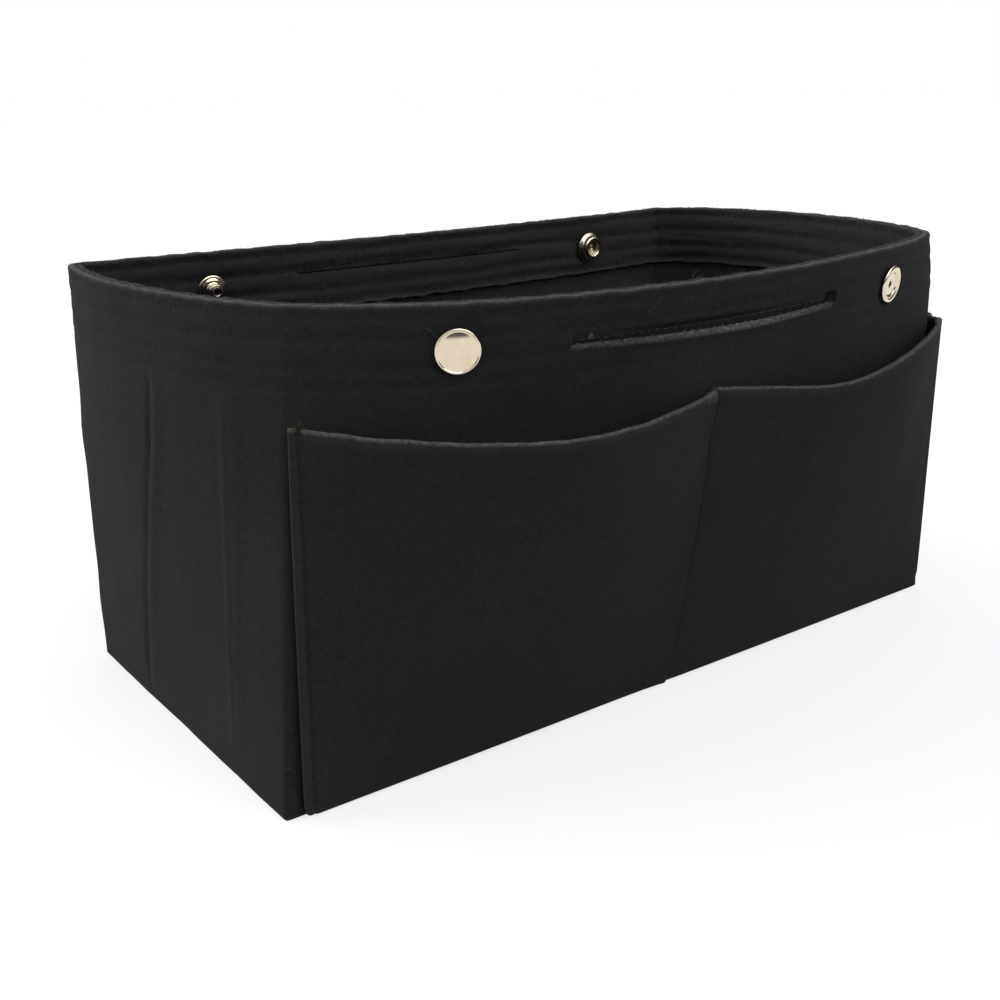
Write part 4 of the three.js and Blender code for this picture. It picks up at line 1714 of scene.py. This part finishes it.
class ORGANIZER_OT_pockets(bpy.types.Operator):
    """Make the outer and inner pocket panels and the round holder"""

    bl_idname = "organizer.pockets"
    bl_label = "Pockets"

    def execute(self, context):
        for body, wall, pockets, span, ends, sides, widths, seed in (
            ("front", FRONT, FRONT_POCKETS, FRONT_POCKET_SPAN, FRONT_POCKET_ENDS, ("left", "right"),
             (0.146, 0.149), 500),
            ("back", BACK, BACK_POCKETS, BACK_POCKET_SPAN, BACK_POCKET_ENDS, ("right", "left"),
             (0.1365, 0.1365), 600),
        ):
            pieces, rows = outer_pocket(f"{body}_pocket_felt", wall, pockets, span, ends, seed)
            for piece, paths, side, width in zip(pieces, rows, sides, widths):
                thread = sew(f"{body}_pocket_thread_{side}", paths)
                fold_with_end(piece, side, body, 0.002)
                fold_with_end(thread, side, body, 0.002)
                replaced, rests_on = f"{body}_pocket_panel", f"{body}_wall_felt"
                declare_pocket(piece, replaced, width, rests_on)
        for body, wall, count, width, seed in (
            ("front", FRONT, 2, 0.198, 700),
            ("back", BACK, 3, 0.206, 800),
        ):
            piece, paths = inner_pocket(f"{body}_inner_pocket_felt", wall, count, seed)
            thread = sew(f"{body}_inner_pocket_thread", paths)
            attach(piece, body)
            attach(thread, body)
            replaced, rests_on = f"{body}_inner_pocket_panel", f"{body}_wall_felt"
            declare_pocket(piece, replaced, width, rests_on)
        holder, paths = end_holder("left_holder_felt", 900)
        thread = sew("left_holder_thread", paths)
        for piece in (holder, thread):
            fold_with_end(piece, "left", "front")
        declare_pocket(holder, "left_end_holder", 0.088, "left_end_felt_front")
        return {"FINISHED"}


class ORGANIZER_OT_fibres(bpy.types.Operator):
    """Make the loose fibres on the long walls, the hand slots and the pocket mouths"""

    bl_idname = "organizer.fibres"
    bl_label = "Loose fibres"

    def execute(self, context):
        groove = in_mm(sizes().hem_groove)
        for body, wall in (("front", FRONT), ("back", BACK)):
            span = (wall + SEAM, wall + 1 - SEAM)
            hairs = wall_hairs(span, share_of_fibres(0.16), 81 + wall, groove)
            edge, points, out = [], [], []
            for side in ("left", "right"):
                panel = bpy.data.objects[f"{body}_pocket_felt_{side}"].data
                edge += [value.value for value in panel.attributes["edge"].data]
                points += [v.co[:] for v in panel.vertices]
                out += [v.normal[:] for v in panel.vertices]
            edge, points, out = np.array(edge), np.array(points) / MM, np.array(out)
            rng = np.random.default_rng(90 + wall)
            mouth = np.flatnonzero((edge > 0.6) & (points[:, 2] > 70))
            for kind, chosen, count, reach in (
                ("mouth", mouth, share_of_fibres(0.11), (0.3, 1.2)),
                (
                    "face",
                    np.flatnonzero((edge < 0.2) & (points[:, 2] > 4)),
                    share_of_fibres(0.07),
                    (0.6, 2.2),
                ),
            ):
                for k in rng.choice(chosen, count):
                    along = unit(np.cross(out[k], (0.2, 0.1, 1.0)))
                    lift = rng.uniform(0.1, 0.5) if kind == "mouth" else rng.uniform(0.05, 0.25)
                    hairs.append(hair(rng, points[k], out[k], along, rng.uniform(*reach), lift))
            if body == "front":
                start, end = (wall + share for share in SLOTS[body])
                t = np.linspace(start, end, 200)
                share = np.linspace(0, 1, 200)
                gape = np.sin(math.pi * share)
                lip = on_face(t, SLOT_HEIGHTS[body][0] - 1.0 * gape + 0.3, 0.2 + 0.8 * gape)
                low = SLOT_HEIGHTS[body][0]
                away = on_face(t, low + 1.3, 1.2) - on_face(t, low, 0)
                hairs += line_hairs(lip, away, share_of_fibres(0.07), 97, (0.4, 1.5), (0.1, 0.6))
            for side, way in (("left", -1), ("right", 1)):
                chosen = [line for line in hairs if line[0, 0] * way >= 0]
                fold_with_end(fibre_mesh(f"{body}_fibres_{side}", chosen, 0.1), side, body)
        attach(fibre_mesh("front_stray_fibres", stray_hairs(), 0.16), "front")
        loose_end = fibre_mesh("front_thread_end", thread_end(), 0.3, "thread_end")
        fold_with_end(loose_end, "left", "front", 0.002)
        return {"FINISHED"}


# Where single stray fibres lie on the front wall: from and to, each the share along the wall,
# the height and how far out
STRAYS = (
    ((0.378, 136.0, 0.5), (0.396, 140.8, 1.1)),
    ((0.373, 138.6, 0.5), (0.391, 135.4, 0.9)),
    ((0.335, 144.1, -1.5), (0.372, 144.3, -3.8)),
    ((0.34, 144.1, -3.2), (0.382, 145.0, -0.8)),
    ((0.35, 144.1, -2.2), (0.362, 146.0, -3.6)),
    ((0.447, 144.1, -3.9), (0.466, 146.3, -6.5)),
    ((0.452, 144.1, -4.2), (0.472, 145.6, -5.4)),
    ((0.14, 138.0, 0.4), (0.155, 134.8, 0.7)),
    ((0.79, 128.0, 0.4), (0.80, 124.6, 0.7)),
)


def stray_hairs():
    hairs = []
    for number, (start, end) in enumerate(STRAYS):
        s = np.linspace(0, 1, 7)
        t, z, out = (start[k] + (end[k] - start[k]) * s for k in range(3))
        bow = 0.5 * np.sin(math.pi * s) * (1 if number % 2 else -1)
        hairs.append(on_face(t, z + bow, out + 0.15 * np.sin(s * 9)))
    return hairs


def thread_end():
    """The loose end of thread at the top left corner of the front pocket."""
    rng = np.random.default_rng(12)
    root = np.array([(POCKET_EDGE + 0.2) / LENGTH, POCKET_HEIGHT - 0.8, 2.6])
    hairs = []
    for _ in range(16):
        tip = root + (rng.normal(0.002, 0.006), rng.uniform(0.5, 3.2), rng.uniform(0.0, 1.4))
        s = np.linspace(0, 1, 5)[:, None]
        curl = (rng.normal(0, 0.003), rng.normal(0, 0.6), 0.3)
        line = root + (tip - root) * s + np.array(curl) * np.sin(math.pi * s)
        hairs.append(on_face(line[:, 0], line[:, 1], line[:, 2]))
    return hairs


class ORGANIZER_OT_snaps(bpy.types.Operator):
    """Make the four press snap halves"""

    bl_idname = "organizer.snaps"
    bl_label = "Snaps"

    def execute(self, context):
        seats = {
            "front_left": (FRONT, SNAP),
            "front_right": (FRONT, 1 - SNAP),
            "back_right": (BACK, SNAP),
            "back_left": (BACK, 1 - SNAP),
        }
        for corner, (wall, share) in seats.items():
            seat = snap_seat(wall, share)
            body = corner.split("_")[0]
            if corner in ("front_left", "back_right"):
                parts = (
                    ("cap", cap_profile(), "nickel"),
                    ("socket", socket_profile(), "nickel"),
                    ("spring", spring_profile(), "spring_steel"),
                )
            else:
                parts = (
                    ("ring", ring_profile(), "nickel"),
                    ("stud", stud_profile(), "nickel"),
                )
            for part, profile, slot in parts:
                piece = turned(f"{corner}_{part}_metal", profile, seat, slot)
                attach(piece, body)
                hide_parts(f"{corner}_snap_{part}")
        return {"FINISHED"}


def seen_directly(tree):
    """1 for what the camera sees, also in a mirror or through glass, and 0 for other light."""
    path = node(tree, "LightPath")
    result = path.outputs["Is Camera Ray"]
    for other in ("Is Glossy Ray", "Is Transmission Ray"):
        result = calc(tree, "MAXIMUM", result, path.outputs[other])
    return result


# The stage

WHITE = (1, 1, 1, 1)
FLOOR_REACH = 12.0  # metres
FLOOR_LIFT = 0.68  # lifts the floor that is seen to the photograph's white
WORLD_FILL = 0.74
CEILING = ((0.0, 0.6), (0.03, 0.08), (0.4, 0.12), (0.52, 0.9), (0.8, 0.9))  # height, grey
SUNS = (  # name, direction, power and spread in degrees
    ("key", (0.25, -0.8, 0.85), 1.55, 60),
    ("left", (-0.9, 1.2, 0.45), 2.94, 60),
)


def floor_material():
    material, tree, shader = new_material("floor")
    grain = node(tree, "TexNoise", {"Scale": 3.0}).outputs["Fac"]
    tone = remap(tree, grain, to_low=0.99, to_high=1.01)
    tree.links.new(toned(tree, colours().floor, tone), shader.inputs["Base Color"])
    shader.inputs["Roughness"].default_value = 0.9
    shader.inputs["Specular IOR Level"].default_value = 0.1
    lift = calc(tree, "MULTIPLY", seen_directly(tree), FLOOR_LIFT)
    glow = node(tree, "Emission", {"Color": WHITE, "Strength": lift})
    both = node(tree, "AddShader", {0: shader.outputs[0], 1: glow.outputs[0]})
    tree.links.new(both.outputs[0], tree.nodes["Material Output"].inputs["Surface"])
    return material


def light_world(tree):
    """White for the camera, an even fill for the felt, and a grey studio in the metal."""
    fill = tree.nodes["Background"]
    feed(tree, fill, {"Color": WHITE, "Strength": WORLD_FILL})
    direction = node(tree, "TexCoord").outputs["Generated"]
    height = node(tree, "SeparateXYZ", {0: direction}).outputs["Z"]
    ceiling = node(tree, "ValToRGB", {"Fac": height})
    ramp = ceiling.color_ramp
    for place, grey in CEILING:
        stop = ramp.elements.new(place) if place else ramp.elements[0]
        stop.position = place
        stop.color = (grey, grey, grey, 1)
    ramp.elements[len(ramp.elements) - 1].color = (0.6, 0.6, 0.6, 1)
    camera_ray = node(tree, "LightPath").outputs["Is Camera Ray"]
    strength = calc(tree, "MAXIMUM", camera_ray, ceiling.outputs["Color"])
    shown = node(tree, "Background", {"Color": WHITE, "Strength": strength})
    fed = {0: seen_directly(tree), 1: fill.outputs[0], 2: shown.outputs[0]}
    mix = node(tree, "MixShader", fed)
    tree.links.new(mix.outputs[0], tree.nodes["World Output"].inputs["Surface"])


class ORGANIZER_OT_stage(bpy.types.Operator):
    """Make the floor, the world and the lights"""

    bl_idname = "organizer.stage"
    bl_label = "Stage"

    def execute(self, context):
        scene = context.scene
        scene.view_settings.view_transform = "Standard"
        mesh = bpy.data.meshes.new("floor")
        r = FLOOR_REACH
        mesh.from_pydata([(-r, -r, 0), (r, -r, 0), (r, r, 0), (-r, r, 0)], [], [(0, 1, 2, 3)])
        floor = bpy.data.objects.new("floor", mesh)
        scene.collection.objects.link(floor)
        floor.data.materials.append(floor_material())
        world = bpy.data.worlds.new("studio")
        scene.world = world
        world.use_nodes = True
        light_world(world.node_tree)
        for name, toward, power, spread in SUNS:
            light = bpy.data.lights.new(name, "SUN")
            light.energy = power
            light.angle = math.radians(spread)
            lamp = bpy.data.objects.new(name, light)
            lamp.rotation_euler = Vector(toward).to_track_quat("Z", "Y").to_euler()
            scene.collection.objects.link(lamp)
        return {"FINISHED"}


class ORGANIZER_OT_camera(bpy.types.Operator):
    """Make the camera at the photograph's angle"""

    bl_idname = "organizer.camera"
    bl_label = "Camera"

    def execute(self, context):
        pitch, yaw, roll = math.radians(18.228), math.radians(35.784), math.radians(-1.309)
        look = Vector(
            (math.sin(yaw) * math.cos(pitch), math.cos(yaw) * math.cos(pitch), -math.sin(pitch))
        )
        right = Vector((math.cos(yaw), -math.sin(yaw), 0))
        up = right.cross(look)
        x = right * math.cos(roll) + up * math.sin(roll)
        y = -right * math.sin(roll) + up * math.cos(roll)
        lens = bpy.data.cameras.new("camera")
        lens.sensor_width = 36.0
        lens.lens = 44.7
        lens.clip_start = 0.01
        lens.clip_end = 100.0
        camera = bpy.data.objects.new("camera", lens)
        turn = Matrix((x, y, -look)).transposed().to_4x4()
        camera.matrix_world = Matrix.Translation((-0.2699, -0.3607, 0.197)) @ turn
        context.scene.collection.objects.link(camera)
        context.scene.camera = camera
        return {"FINISHED"}


class ORGANIZER_PT_panel(bpy.types.Panel):
    """The organizer's settings and the steps that build it"""

    bl_label = "Organizer"
    bl_idname = "ORGANIZER_PT_panel"
    bl_space_type = "VIEW_3D"
    bl_region_type = "UI"
    bl_category = "Organizer"

    def draw(self, context):
        layout = self.layout
        for group in (context.scene.organizer_sizes, context.scene.organizer_colours):
            box = layout.box()
            for name in group.__annotations__:
                box.prop(group, name)
        for step in STEPS:
            layout.operator(step.bl_idname)


STEPS = (
    ORGANIZER_OT_camera,
    ORGANIZER_OT_materials,
    ORGANIZER_OT_base,
    ORGANIZER_OT_walls,
    ORGANIZER_OT_pockets,
    ORGANIZER_OT_snaps,
    ORGANIZER_OT_fibres,
    ORGANIZER_OT_stage,
)
CLASSES = (OrganizerSizes, OrganizerColours) + STEPS + (ORGANIZER_PT_panel,)


def register():
    for cls in CLASSES:
        bpy.utils.register_class(cls)
    bpy.types.Scene.organizer_sizes = PointerProperty(type=OrganizerSizes)
    bpy.types.Scene.organizer_colours = PointerProperty(type=OrganizerColours)


def unregister():
    del bpy.types.Scene.organizer_colours
    del bpy.types.Scene.organizer_sizes
    for cls in reversed(CLASSES):
        bpy.utils.unregister_class(cls)


def main():
    register()
    bpy.ops.organizer.camera()
    bpy.ops.organizer.materials()
    bpy.ops.organizer.base()
    bpy.ops.organizer.walls()
    bpy.ops.organizer.pockets()
    bpy.ops.organizer.snaps()
    bpy.ops.organizer.fibres()
    bpy.ops.organizer.stage()


if __name__ == "__main__":
    main()
